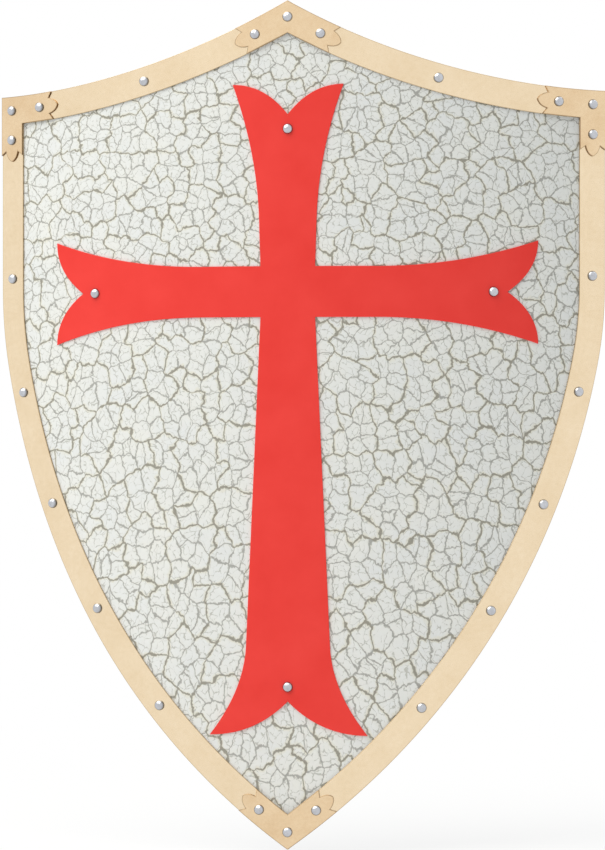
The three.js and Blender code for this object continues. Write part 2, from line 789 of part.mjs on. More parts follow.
function roundedOutline(halfWidth, low, high, radius) {
  const outline = new THREE.Shape();
  outline.absarc(halfWidth - radius, high - radius, radius, 0, Math.PI / 2);
  outline.absarc(radius - halfWidth, high - radius, radius, Math.PI / 2, Math.PI);
  outline.absarc(radius - halfWidth, low + radius, radius, Math.PI, Math.PI * 3 / 2);
  outline.absarc(halfWidth - radius, low + radius, radius, Math.PI * 3 / 2, Math.PI * 2);
  outline.closePath();
  return outline;
}

function ringBar(bar, outerRadius, length) {
  const section = new THREE.Shape().absarc(bar.x, bar.y, outerRadius, 0, Math.PI * 2);
  section.holes.push(new THREE.Path().absarc(bar.x, bar.y, boreRadius, 0, Math.PI * 2, true));
  return profileBar(section, length);
}

const bucklePath = roundedOutline(buckleHalf, frontBar.y, heelBar.y, buckleCornerRadius);
const buckleFrame = wireLoop(bucklePath, buckleWire).translate(0, heelBar.x, 0);
addPiece('buckle_frame', buckleFrame.applyMatrix4(armFrame), brightSteel);
const rollerLength = (buckleHalf - buckleCornerRadius - rollerEndClearance / 2) * 2;
const roller = ringBar(frontBar, rollerRadius, rollerLength);
addPiece('buckle_roller', roller.applyMatrix4(armFrame), brightSteel);

// Prong: an eye on the heel bar and a shank whose end rests over the roller
function prong() {
  const start = new THREE.Vector3(0, heelBar.x + boreRadius + prongRadius, heelBar.y);
  const rest = new THREE.Vector3(0, frontBar.x + rollerRadius + seatGap + prongRadius, frontBar.y);
  const run = rest.clone().sub(start);
  const end = rest.clone().addScaledVector(run.clone().normalize(), prongOverhang);
  const shank = new THREE.CylinderGeometry(prongRadius, prongRadius, start.distanceTo(end), rodSides)
    .applyQuaternion(new THREE.Quaternion().setFromUnitVectors(new THREE.Vector3(0, 1, 0), run.normalize()))
    .translate(0, (start.y + end.y) / 2, (start.z + end.z) / 2);
  const eye = ringBar(heelBar, boreRadius + prongEyeWall, prongEyeWidth);
  return joined([eye, shank]);
}

addPiece('buckle_prong', prong().applyMatrix4(armFrame), brightSteel);

// Oblong punch: X across the strap, Y along it, Z through it
function oblongPunch(width, length, depth) {
  const reach = (length - width) / 2;
  const outline = new THREE.Shape();
  outline.absarc(0, reach, width / 2, 0, Math.PI);
  outline.absarc(0, -reach, width / 2, Math.PI, Math.PI * 2);
  return new THREE.ExtrudeGeometry(outline, { depth, bevelEnabled: false, curveSegments: punchSteps })
    .translate(0, 0, -depth / 2);
}

// Buckle strap: from the upper staple out and down to the heel bar, with a slot for the prong's eye
const buckleStrapPath = [
  ...fold(armUpper, stapleRod, behind, upward),
  ...strapCorner(armLoopDepth, armRun, armLoopCorner, 1),
  ...fold(heelBar, buckleWire, upward, inward).reverse(),
];
const slotDepth = (wrapRadius(buckleWire) + strapThickness + cutOverrun) * 2;
const prongSlot = oblongPunch(prongSlotWidth, prongSlotRise + prongSlotDrop, slotDepth)
  .rotateX(Math.PI / 2)
  .translate(0, heelBar.x, heelBar.y + (prongSlotRise - prongSlotDrop) / 2);
const buckleStrap = punched(strapBand(buckleStrapPath, armStrapWidth), [
  foldRivetPunch(armUpper, 1),
  prongSlot,
]);
addPiece('arm_buckle_strap', buckleStrap.applyMatrix4(armFrame), strapLeather);

// Tongue strap: from the lower staple out and up, inside the roller, then over the heel bar
const rollerWrap = rollerRadius + seatGap + strapThickness / 2;
const heelWrap = wrapRadius(buckleWire) + strapThickness + seatGap;
const tongueLean = Math.asin((rollerWrap + heelWrap) / buckleLength);
const tongueTip = new THREE.Vector2(heelBar.x + heelWrap, heelBar.y + tongueReach);
const tonguePath = [
  ...fold(armLower, stapleRod, behind, downward),
  ...strapCorner(frontBar.x - rollerWrap, armRun, armLoopCorner, -1),
  ...arc(frontBar, rollerWrap, Math.PI, Math.PI - tongueLean).getPoints(punchSteps),
  ...arc(heelBar, heelWrap, -tongueLean, 0).getPoints(punchSteps),
  tongueTip,
];

// Prong holes at an even pitch; the one in use lies on the slant between the two bars
function prongHoles() {
  const spans = tonguePath.slice(1).map((point, i) => new THREE.LineCurve(point, tonguePath[i]));
  const reversedRun = edgeOf(spans.reverse());
  const firstReach = tongueReach + heelWrap * tongueLean + prongHoleReach;
  return Array.from({ length: spareHolesOut + 1 + spareHolesIn }, (_, i) => {
    const share = (firstReach + (i - spareHolesOut) * prongHolePitch) / reversedRun.getLength();
    const place = reversedRun.getPointAt(share);
    const tangent = reversedRun.getTangentAt(share);
    return oblongPunch(prongHoleWidth, prongHoleLength, strapThickness + cutOverrun * 2)
      .rotateX(Math.atan2(tangent.y, tangent.x))
      .translate(0, place.x, place.y);
  });
}

// The tongue's end is cut to a rounded point
function tongueBlank() {
  const half = armStrapWidth / 2 + cutOverrun;
  const outline = new THREE.Shape();
  outline.moveTo(-half, -armLoopHeight);
  outline.lineTo(half, -armLoopHeight);
  outline.lineTo(half, tongueTip.y - tongueTipLength);
  outline.quadraticCurveTo(half - cutOverrun, tongueTip.y, 0, tongueTip.y);
  outline.quadraticCurveTo(cutOverrun - half, tongueTip.y, -half, tongueTip.y - tongueTipLength);
  outline.closePath();
  return new THREE.ExtrudeGeometry(outline, {
    depth: armLoopDepth * 2,
    bevelEnabled: false,
    curveSegments: domeSides,
  }).rotateX(Math.PI / 2).translate(0, armLoopDepth * 3 / 2, 0);
}

const tongueBand = toGeometry(toSolid(strapBand(tonguePath, armStrapWidth)).intersect(toSolid(tongueBlank())));
const tongueStrap = punched(tongueBand, [foldRivetPunch(armLower, -1), ...prongHoles()]);
addPiece('arm_tongue_strap', tongueStrap.applyMatrix4(armFrame), strapLeather);

// Keeper: a leather loop round the tongue, the buckle strap and its fold
function keeper() {
  const half = armStrapWidth / 2 + seatGap;
  const near = armLoopDepth - foldGap - strapThickness * 3 / 2 - seatGap;
  const far = tongueTip.x + strapThickness / 2 + seatGap;
  const outline = roundedOutline(
    half + keeperThickness, near - keeperThickness, far + keeperThickness, keeperCornerRadius,
  );
  outline.holes.push(new THREE.Path([
    new THREE.Vector2(-half, near),
    new THREE.Vector2(-half, far),
    new THREE.Vector2(half, far),
    new THREE.Vector2(half, near),
  ]));
  return new THREE.ExtrudeGeometry(outline, {
    depth: keeperHeight,
    bevelEnabled: false,
    curveSegments: punchSteps,
  }).translate(0, 0, heelBar.y + keeperRise);
}

addPiece('strap_keeper', keeper().applyMatrix4(armFrame), strapLeather);

export default shield;
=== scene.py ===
"""Looks of a bowed steel heater shield with a riveted cross, a brass rim and arm straps behind.

Sizes in the classes are millimetres, and become metres where a mesh is made. X runs to the
viewer's right, Z up to the peak, and the front faces -Y.
"""

import logging
import math
from collections.abc import Callable, Iterable, Sequence
from dataclasses import dataclass, field
from enum import Enum
from itertools import product

import bmesh
import bpy
import numpy as np
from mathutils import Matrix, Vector
from mathutils.geometry import delaunay_2d_cdt


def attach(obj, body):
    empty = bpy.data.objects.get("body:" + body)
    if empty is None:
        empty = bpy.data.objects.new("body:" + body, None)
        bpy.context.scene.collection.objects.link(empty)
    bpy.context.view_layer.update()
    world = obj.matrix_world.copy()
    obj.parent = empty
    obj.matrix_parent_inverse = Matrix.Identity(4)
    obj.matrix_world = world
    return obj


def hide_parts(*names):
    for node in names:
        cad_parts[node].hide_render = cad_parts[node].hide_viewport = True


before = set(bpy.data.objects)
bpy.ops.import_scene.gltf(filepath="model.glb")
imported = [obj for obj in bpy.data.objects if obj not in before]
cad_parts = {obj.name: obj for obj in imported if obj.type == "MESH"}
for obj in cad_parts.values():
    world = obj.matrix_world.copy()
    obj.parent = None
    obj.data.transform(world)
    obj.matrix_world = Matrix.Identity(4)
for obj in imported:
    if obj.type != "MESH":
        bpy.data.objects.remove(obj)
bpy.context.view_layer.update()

LOG = logging.getLogger("shield")
METRE = 0.001
NO_SIZE = 1e-6
ROOT = "shield"

Socket = bpy.types.NodeSocket
Piece = bpy.types.Object
Rows = np.ndarray
Faces = list[tuple[int, ...]]
Shell = tuple[Rows, Faces]


def pointing(angle: Rows | float) -> Rows:
    """Return the unit vector at an angle, or a row for each of several."""
    return np.stack((np.cos(angle), np.sin(angle)), axis=-1)


class Rim(Enum):
    """Edge of the shield, from the peak to a corner or from a corner to the tip."""

    TOP = "top"
    SIDE = "side"


@dataclass(frozen=True)
class Bow:
    """Rolled surface: a cylinder about an upright axis behind the shield.

    Attributes:
        bend_radius: Radius that turns a distance along the blank into an angle.
        mean_radius: Radius of the panel's front, midway between the CAD facets' lines and middles.
        facet_radius: Distance from the axis to the middle of a CAD facet.
        facet_width: Width of a CAD facet along the blank.
        axis_y: Place of the axis behind the hanger clip's face.
    """

    bend_radius: float = 486.0
    mean_radius: float = 485.9
    facet_radius: float = 485.831
    facet_width: float = 25.619
    axis_y: float = 475.331

    def place(self, flat: Rows, out: Rows | float) -> Rows:
        """Roll points of the flat blank.

        Args:
            flat: Rows of distance along the blank and height.
            out: Distance out from the panel's front.

        Returns:
            Rows of X, Y and Z.
        """
        turn = flat[:, 0] / self.bend_radius
        reach = self.mean_radius + out
        return np.column_stack(
            (reach * np.sin(turn), self.axis_y - reach * np.cos(turn), flat[:, 1])
        )

    def outward(self, flat: Rows) -> Rows:
        """Return the unit vectors that point out of the front."""
        turn = flat[:, 0] / self.bend_radius
        return np.column_stack((np.sin(turn), -np.cos(turn), np.zeros(len(flat))))

    def across(self, flat: Rows, aside: Rows) -> Rows:
        """Turn vectors of the flat blank into vectors that touch the rolled surface."""
        turn = flat[:, 0] / self.bend_radius
        return np.column_stack(
            (aside[:, 0] * np.cos(turn), aside[:, 0] * np.sin(turn), aside[:, 1])
        )


@dataclass(frozen=True)
class Blank:
    """Outline of the flat blank, symmetric about its middle line.

    Attributes:
        half: Half of the blank's width.
        peak: Height of the peak above the hanger's middle.
        corner: Height of the two upper corners.
        tip: Height of the lower tip.
        scoop_radius: Radius of the hollow top edges.
        straight: Length of the straight part of each side.
        shoulder_radius: Radius of the short arc below the straight part.
        shoulder_turn: Angle of that arc.
    """

    half: float = 269.0
    peak: float = 65.0
    corner: float = -7.0
    tip: float = -635.0
    scoop_radius: float = 553.0
    straight: float = 163.0
    shoulder_radius: float = 313.0
    shoulder_turn: float = math.radians(12)

    @property
    def scoop_centre(self) -> Rows:
        """Return the centre of the right top edge's arc."""
        chord = np.array((self.half, self.corner - self.peak))
        aside = np.array((self.peak - self.corner, self.half)) / np.linalg.norm(chord)
        rise = math.sqrt(self.scoop_radius**2 - chord @ chord / 4)
        return aside * rise + chord / 2 + np.array((0.0, self.peak))

    @property
    def shoulder_centre(self) -> Rows:
        """Return the centre of the shoulder's arc."""
        return np.array((self.half - self.shoulder_radius, self.corner - self.straight))

    @property
    def lower(self) -> tuple[Rows, float]:
        """Return the centre and the radius of the long lower arc."""
        heading = pointing(-self.shoulder_turn)
        start = self.shoulder_centre + heading * self.shoulder_radius
        run = start - np.array((0.0, self.tip))
        radius = run @ run / (2 * run @ heading)
        return start - heading * radius, radius

    def top_height(self, along: float, inset: float) -> float:
        """Return the height of the top edge, moved in by inset."""
        centre = self.scoop_centre
        return centre[1] - math.sqrt((self.scoop_radius + inset) ** 2 - (along - centre[0]) ** 2)

    def tip_height(self, inset: float) -> float:
        """Return the height of the lower tip, moved in by inset."""
        centre, radius = self.lower
        return centre[1] - math.sqrt((radius - inset) ** 2 - centre[0] ** 2)

    def top(self, inset: float, end: float, steps: int = 60) -> Rows:
        """Return points of the right top edge from the middle line out to end."""
        along = np.linspace(0.0, end, steps)
        return np.array([(x, self.top_height(x, inset)) for x in along])

    def side(self, inset: float, steps: int = 70) -> Rows:
        """Return points of the right side from its upper end to the tip, moved in by inset."""
        centre, radius = self.lower
        tip_turn = math.acos(-centre[0] / (radius - inset))
        shoulder = np.linspace(0.0, self.shoulder_turn, 9)
        below = np.linspace(self.shoulder_turn, tip_turn, steps)[1:]
        upper = np.linspace(
            self.top_height(self.half - inset, inset), self.shoulder_centre[1], 12
        )[:-1]
        straight = np.column_stack((np.full(len(upper), self.half - inset), upper))
        arc = self.shoulder_centre + (self.shoulder_radius - inset) * pointing(-shoulder)
        sweep = centre + (radius - inset) * pointing(-below)
        return np.vstack((straight, arc, sweep))

    def length(self, rim: Rim) -> float:
        """Return the length of one edge of the rim."""
        if rim is Rim.TOP:
            return self.scoop_radius * (self._scoop_angle(self.half) - self._scoop_angle(0.0))
        centre, radius = self.lower
        sweep = math.acos(-centre[0] / radius) - self.shoulder_turn
        return self.straight + self.shoulder_radius * self.shoulder_turn + radius * sweep

    def _scoop_angle(self, along: float) -> float:
        """Return the angle of a point of the top edge about its arc's centre."""
        centre = self.scoop_centre
        return math.atan2(self.top_height(along, 0.0) - centre[1], along - centre[0])

    def on_rim(self, rim: Rim, distance: float, inset: float) -> Rows:
        """Return a point in from the rim.

        Args:
            rim: Edge to follow.
            distance: Run along the edge from its first end.
            inset: Distance in from the edge.

        Returns:
            Distance along the blank and height.
        """
        if rim is Rim.TOP:
            turn = self._scoop_angle(0.0) + distance / self.scoop_radius
            return self.scoop_centre + pointing(turn) * (self.scoop_radius + inset)
        if distance <= self.straight:
            return np.array((self.half - inset, self.corner - distance))
        bend = (distance - self.straight) / self.shoulder_radius
        if bend <= self.shoulder_turn:
            return self.shoulder_centre + pointing(-bend) * (self.shoulder_radius - inset)
        centre, radius = self.lower
        past = distance - self.straight - self.shoulder_radius * self.shoulder_turn
        turn = self.shoulder_turn + past / radius
        return centre + pointing(-turn) * (radius - inset)


BOW = Bow()
BLANK = Blank()


@dataclass(frozen=True)
class BackFrame:
    """Local frame on the panel's rear face: X along the roll, Y away behind, Z up.

    Attributes:
        along: Place along the blank.
        height: Height of the frame's origin.
        rear: Distance out from the panel's front to its rear face.
    """

    along: float
    height: float
    rear: float = -1.5

    @property
    def turn(self) -> float:
        """Return the angle of the CAD facet that carries the frame."""
        return round(self.along / BOW.facet_width) * BOW.facet_width / BOW.bend_radius

    def place(self, points: Rows) -> Rows:
        """Put local points in the shield's frame."""
        half_turn = BOW.facet_width / BOW.bend_radius / 2
        share = self.along / BOW.facet_width - round(self.along / BOW.facet_width)
        reach = BOW.facet_radius + self.rear
        aside = share * 2 * reach * math.tan(half_turn)
        origin = self.aim(np.array([(aside, -reach, self.height)])) + (0, BOW.axis_y, 0)
        return origin + self.aim(points)

    def aim(self, vectors: Rows) -> Rows:
        """Turn local vectors into the shield's frame."""
        cos, sin = math.cos(self.turn), math.sin(self.turn)
        return vectors @ np.array(((cos, sin, 0), (-sin, cos, 0), (0, 0, 1)))


HANGER_FRAME = BackFrame(0.0, 0.0)
ARM_FRAME = BackFrame(112.0, -235.0)
GRIP_FRAME = BackFrame(-104.0, -235.0)


def linear(code: str) -> tuple[float, float, float, float]:
    """Turn an sRGB hex colour into the linear colour that a shader takes."""
    parts = [int(code[i : i + 2], 16) / 255 for i in (1, 3, 5)]
    curve = [c / 12.92 if c <= 0.04045 else ((c + 0.055) / 1.055) ** 2.4 for c in parts]
    return (*curve, 1.0)


def mitre(loop: Rows, sharpest: float = 4.0) -> Rows:
    """Return, for each corner of a closed loop, the vector that moves both its edges out by one.

    Args:
        loop: Corners, counter-clockwise about the solid side.
        sharpest: Longest vector, for a sharp corner.
    """
    run = np.roll(loop, -1, axis=0) - loop
    run /= np.maximum(np.linalg.norm(run, axis=1, keepdims=True), 1e-9)
    after = np.column_stack((run[:, 1], -run[:, 0]))
    before = np.roll(after, 1, axis=0)
    share = np.maximum(1 + np.sum(before * after, axis=1, keepdims=True), 1 / sharpest)
    return (before + after) / share


def inside(points: Rows, loop: Rows) -> Rows:
    """Tell which points lie inside a closed loop."""
    end = np.roll(loop, -1, axis=0)
    x, y = points[:, :1], points[:, 1:]
    crosses = (loop[:, 1] > y) != (end[:, 1] > y)
    rise = np.where(end[:, 1] == loop[:, 1], 1.0, end[:, 1] - loop[:, 1])
    at = (end[:, 0] - loop[:, 0]) * (y - loop[:, 1]) / rise + loop[:, 0]
    return (crosses & (x < at)).sum(axis=1) % 2 == 1


def loops_of(triangles: Rows) -> list[list[int]]:
    """Return the closed edge loops of a flat patch, the solid on the left of each."""
    edges = {(t[i], t[(i + 1) % 3]) for t in triangles.tolist() for i in range(3)}
    following = {a: b for a, b in edges if (b, a) not in edges}
    loops = []
    while following:
        start, at = following.popitem()
        loop = [start]
        while at != start:
            loop.append(at)
            at = following.pop(at)
        loops.append(loop)
    return loops


def linked(name: str, content: bpy.types.ID) -> Piece:
    """Return a new object of the scene that holds a mesh, a lamp or a camera."""
    piece = bpy.data.objects.new(name, content)
    bpy.context.scene.collection.objects.link(piece)
    return piece


def mesh_object(name: str, points: Rows, faces: Faces, normals: Rows | None = None) -> Piece:
    """Make an object from points in millimetres.

    Args:
        name: Name of the piece.
        points: Rows of X, Y and Z.
        faces: Corners of each face, counter-clockwise from outside.
        normals: Direction of each point for smooth shading, or None to shade by angle.

    Returns:
        The new object, at the origin.
    """
    mesh = bpy.data.meshes.new(name)
    faces = facing_out(points, faces) if normals is None else faces
    mesh.from_pydata((points * METRE).tolist(), [], faces)
    mesh.polygons.foreach_set("use_smooth", [True] * len(mesh.polygons))
    mesh.update()
    if normals is not None:
        mesh.normals_split_custom_set_from_vertices(normals.tolist())
    return linked(name, mesh)


def store(piece: Piece, name: str, values: Iterable[float]) -> None:
    """Keep one number for each point of a piece under a name that materials read."""
    kept = piece.data.attributes.new(name, "FLOAT", "POINT")
    kept.data.foreach_set("value", np.asarray(list(values), np.float32))


def store_uv(piece: Piece, name: str, flat: Rows) -> None:
    """Keep a flat place in metres for each point of a piece, as a UV map.

    Args:
        piece: Piece to mark.
        name: Name of the UV map.
        flat: Rows of two distances in millimetres.
    """
    layer = piece.data.uv_layers.new(name=name)
    corners = np.empty(len(piece.data.loops), np.int32)
    piece.data.loops.foreach_get("vertex_index", corners)
    layer.data.foreach_set("uv", (flat * METRE)[corners].astype(np.float32).ravel())


@dataclass(frozen=True)
class Sheet:
    """Rolled sheet piece with softened edges.

    Attributes:
        outline: Corners of the flat piece, counter-clockwise from the front.
        rear: Distance of its rear face out from the panel's front.
        holes: Centre and radius of each punched hole.
        edge_radius: Radius that its edges are filed to.
        pitch: Spacing of the lines that carry the roll.
        border: Width of the strip of face along each edge that holds old polish and painted shade.
    """

    outline: Rows
    rear: float
    thickness: float
    holes: tuple[tuple[float, float, float], ...] = ()
    edge_radius: float = 0.3
    pitch: float = 6.0
    edge_steps: int = 3
    border: float = 0.55

    def build(self, name: str, second_uv: Callable[[Rows], Rows] | None = None) -> Piece:
        """Make the sheet's object.

        Args:
            name: Name of the piece.
            second_uv: Turns places on the blank into places along the piece.

        Returns:
            The object, with its place on the blank as its first UV map, and an attribute that
            rises from 0 on its faces to 1 on its edges.
        """
        flat, triangles = self._cap()
        count = len(flat)
        front, rear = self.rear + self.thickness, self.rear
        rows = [
            self._rows(flat, front, 0 * flat, 1.0, 0.0),
            self._rows(flat, rear, 0 * flat, -1.0, 0.0),
        ]
        faces: Faces = [tuple(t) for t in triangles.tolist()]
        faces += [(c + count, b + count, a + count) for a, b, c in faces]
        total = 2 * count
        turns = np.linspace(0, math.pi / 2, self.edge_steps + 1)
        for loop in loops_of(triangles):
            base = flat[loop]
            out = mitre(base)
            unit = out / np.linalg.norm(out, axis=1, keepdims=True)
            rings = [np.array(loop)]
            for level, sign, order in ((front, 1.0, turns), (rear, -1.0, turns[::-1])):
                for turn in order:
                    sin, cos = math.sin(turn), math.cos(turn)
                    moved = base + out * (self.border + self.edge_radius * sin)
                    out_to = level - self.edge_radius * (1 - cos) * sign
                    edge = 0.5 + 0.5 * sin
                    rows.append(self._rows(moved, out_to, unit * sin, cos * sign, edge))
                    rings.append(np.arange(total, total + len(loop)))
                    total += len(loop)
            rings.append(np.array(loop) + count)
            for upper, lower in zip(rings, rings[1:]):
                quads = np.column_stack((np.roll(upper, -1), upper, lower, np.roll(lower, -1)))
                faces += [tuple(quad) for quad in quads.tolist()]
        place, lean, side, out, edge = np.split(np.vstack(rows), (2, 4, 5, 6), axis=1)
        normals = BOW.outward(place) * side + BOW.across(place, lean)
        normals /= np.linalg.norm(normals, axis=1, keepdims=True)
        piece = mesh_object(name, BOW.place(place, out[:, 0]), faces, normals)
        store_uv(piece, "blank", place)
        # Metals darken by this attribute: old polish and tarnish, and painted shade in the step
        # along the edge
        store(piece, "edge", edge[:, 0])
        if second_uv is not None:
            store_uv(piece, "run", second_uv(place))
        return piece

    @staticmethod
    def _rows(flat: Rows, out: float, lean: Rows, side: float, edge: float) -> Rows:
        """Return rows of place, lean of the normal, its side, distance out and edge."""
        return np.hstack((flat, lean, np.tile((side, out, edge), (len(flat), 1))))

    def _cap(self) -> tuple[Rows, Rows]:
        """Return the points and triangles of the flat face inside its filed edges."""
        inset = self.edge_radius + self.border
        rim = self.outline - mitre(self.outline) * inset
        holes = [np.array(h[:2]) + circle(h[2] + inset, 20) for h in self.holes]
        points: list[list[float]] = []
        edges: list[tuple[int, int]] = []
        for loop in (rim, *holes):
            first = len(points)
            points += loop.tolist()
            edges += [(first + i, first + (i + 1) % len(loop)) for i in range(len(loop))]
        low, high = rim.min(axis=0), rim.max(axis=0)
        columns = np.arange(math.ceil(low[0] / self.pitch), high[0] / self.pitch) * self.pitch
        pitch = 4 * self.pitch
        rows = np.arange(math.ceil(low[1] / pitch), high[1] / pitch) * pitch
        lines = [([x, low[1] - 1], [x, high[1] + 1]) for x in columns + 0.013]
        lines += [([low[0] - 1, y], [high[0] + 1, y]) for y in rows + 0.017]
        for line in lines:
            points += line
            edges.append((len(points) - 2, len(points) - 1))
        found = delaunay_2d_cdt([Vector(p) for p in points], edges, [], 0, 1e-5, False)
        flat = np.array([tuple(v) for v in found[0]])
        triangles = np.array(found[2])
        middle = flat[triangles].mean(axis=1)
        keep = inside(middle, rim)
        for hole in holes:
            keep &= ~inside(middle, hole)
        triangles = triangles[keep]
        a, b, c = (flat[triangles[:, i]] for i in range(3))
        area = (b[:, 0] - a[:, 0]) * (c[:, 1] - a[:, 1]) - (b[:, 1] - a[:, 1]) * (c[:, 0] - a[:, 0])
        triangles[area < 0] = triangles[area < 0][:, ::-1]
        used, renamed = np.unique(triangles, return_inverse=True)
        return flat[used], renamed.reshape(triangles.shape)


def facing_out(points: Rows, faces: Faces) -> Faces:
    """Turn the faces of a closed shape round where they point inwards."""
    volume = 0.0
    for face in faces:
        a = points[face[0]]
        for i in range(1, len(face) - 1):
            volume += float(a @ np.cross(points[face[i]], points[face[i + 1]]))
    return faces if volume > 0 else [tuple(reversed(face)) for face in faces]


def sharpen(piece: Piece, degrees: float = 38.0) -> None:
    """Merge points that meet, and shade a piece smooth between edges past an angle."""
    work = bmesh.new()
    work.from_mesh(piece.data)
    bmesh.ops.remove_doubles(work, verts=work.verts, dist=NO_SIZE)
    for edge in work.edges:
        turn = edge.calc_face_angle(0.0) if len(edge.link_faces) == 2 else 0.0
        edge.smooth = turn < math.radians(degrees)
    work.to_mesh(piece.data)
    work.free()


def circle(radius: float, sides: int) -> Rows:
    """Return the corners of a round section."""
    return radius * pointing(np.linspace(0, 2 * math.pi, sides, endpoint=False))


def rounded(half_width: float, low: float, high: float, radius: float, steps: int) -> Rows:
    """Return the corners of a rounded oblong, counter-clockwise.

    Args:
        half_width: Half of its width.
        low: Place of its lower side.
        high: Place of its upper side.
        radius: Radius of its corners.
        steps: Steps round each corner.
    """
    turns = np.linspace(0, math.pi / 2, steps + 1)
    aside, upper, lower = half_width - radius, high - radius, low + radius
    corners = ((aside, upper), (-aside, upper), (-aside, lower), (aside, lower))
    return np.vstack(
        [place + radius * pointing(k * math.pi / 2 + turns) for k, place in enumerate(corners)]
    )


def run_lengths(line: Rows) -> Rows:
    """Return the length of a line up to each of its points."""
    return np.concatenate(((0.0,), np.cumsum(np.linalg.norm(np.diff(line, axis=0), axis=1))))


def spaced(path: Rows, pitch: float, closed: bool = False) -> Rows:
    """Return points at an even pitch along a line of points.

    Args:
        path: Points of the line.
        pitch: Wanted distance between them.
        closed: Whether the line joins up with itself.
    """
    line = np.vstack((path, path[:1])) if closed else path
    runs = run_lengths(line)
    count = max(2, round(runs[-1] / pitch) + 1)
    at = np.linspace(0, runs[-1], count)[: count - 1 if closed else count]
    return np.column_stack([np.interp(at, runs, line[:, k]) for k in range(line.shape[1])])


def skinned(rings: Rows, closed: bool = False) -> Shell:
    """Join rings of points with faces, and cap both ends unless the last ring meets the first."""
    count, corners, _ = rings.shape
    faces: Faces = []
    for i in range(count if closed else count - 1):
        low, high = i * corners, (i + 1) % count * corners
        for k in range(corners):
            m = (k + 1) % corners
            faces.append((low + k, low + m, high + m, high + k))
    if not closed:
        faces.append(tuple(range(corners - 1, -1, -1)))
        faces.append(tuple(range((count - 1) * corners, count * corners)))
    points = rings.reshape(-1, 3)
    return points, facing_out(points, faces)


@dataclass(frozen=True)
class Sweep:
    """Solid swept along a flat path.

    Attributes:
        path: Points in the path's own plane.
        section: Corners of the cross-section: across the plane, then within it.
        closed: Whether the path joins up with itself.
        scale: Width and thickness of the section at each point, as shares.
    """

    path: Rows
    section: Rows
    closed: bool = False
    scale: Rows | None = None

    def build(self) -> Shell:
        """Make the solid, its points as across, first and second path coordinate."""
        count = len(self.path)
        ahead = np.roll(self.path, -1, axis=0) - self.path
        if not self.closed:
            ahead[-1] = ahead[-2]
        ahead /= np.linalg.norm(ahead, axis=1, keepdims=True)
        behind = np.roll(ahead, 1, axis=0)
        if not self.closed:
            behind[0] = ahead[0]
        sides = np.column_stack((-(ahead + behind)[:, 1], (ahead + behind)[:, 0]))
        sides /= (1 + np.sum(ahead * behind, axis=1))[:, None]
        scale = np.ones((count, 2)) if self.scale is None else self.scale
        across = np.outer(scale[:, 0], self.section[:, 0])
        lift = np.outer(scale[:, 1], self.section[:, 1])
        flat = self.path[:, None, :] + sides[:, None, :] * lift[:, :, None]
        return skinned(np.dstack((across, flat)), self.closed)


def revolved(profile: Sequence[tuple[float, float]], sides: int) -> Shell:
    """Turn a profile about the Z axis, from its lower pole to its upper pole."""
    rings = [(r, z) for r, z in profile if r > NO_SIZE]
    turns = np.linspace(0, 2 * math.pi, sides, endpoint=False)
    points = [(0.0, 0.0, profile[0][1])]
    for r, z in rings:
        points += [(r * math.cos(t), r * math.sin(t), z) for t in turns]
    points.append((0.0, 0.0, profile[-1][1]))
    last = len(points) - 1
    faces: Faces = []
    for k in range(sides):
        m = (k + 1) % sides
        faces.append((0, 1 + m, 1 + k))
        for i in range(len(rings) - 1):
            a, b = 1 + i * sides, 1 + (i + 1) * sides
            faces.append((a + k, a + m, b + m, b + k))
        top = 1 + (len(rings) - 1) * sides
        faces.append((top + k, top + m, last))
    grid = np.array(points)
    return grid, facing_out(grid, faces)


@dataclass
class Graph:
    """Node tree that is filled by one function."""

    tree: bpy.types.NodeTree

    def add(
        self,
        kind: str,
        inputs: dict[int | str, object] | None = None,
        out: int | str = 0,
        **settings: object,
    ) -> Socket:
        """Add a node with its settings and links.

        Args:
            kind: Name of the node's type, without the prefix that shader nodes share.
            inputs: Value, hex colour or linked socket for each input, by its name or place.
            out: Output to return.
            **settings: Other values of the node.

        Returns:
            The chosen output.
        """
        node = self.tree.nodes.new(kind if "Node" in kind else "ShaderNode" + kind)
        for key, value in settings.items():
            setattr(node, key, value)
        for key, value in (inputs or {}).items():
            if isinstance(value, bpy.types.NodeSocket):
                self.tree.links.new(value, node.inputs[key])
            elif isinstance(value, str) and value.startswith("#"):
                node.inputs[key].default_value = linear(value)
            else:
                node.inputs[key].default_value = value
        return node.outputs[out] if len(node.outputs) else None

    def layered(self, body: Socket | str, *layers: tuple) -> Socket:
        """Lay colours over a body colour, each as a pattern, its strength and the colour."""
        for pattern, strength, colour in layers:
            share = self.add("Math", {0: pattern, 1: strength}, operation="MULTIPLY")
            body = self.add("Mix", {0: share, 6: body, 7: colour}, out=2, data_type="RGBA")
        return body


# Values of the points and of the unit that the tree below reads
NAMED_VALUES = {
    "outward": "FLOAT_VECTOR", "heading": "FLOAT_VECTOR", "seat": "FLOAT", "head": "FLOAT"
}


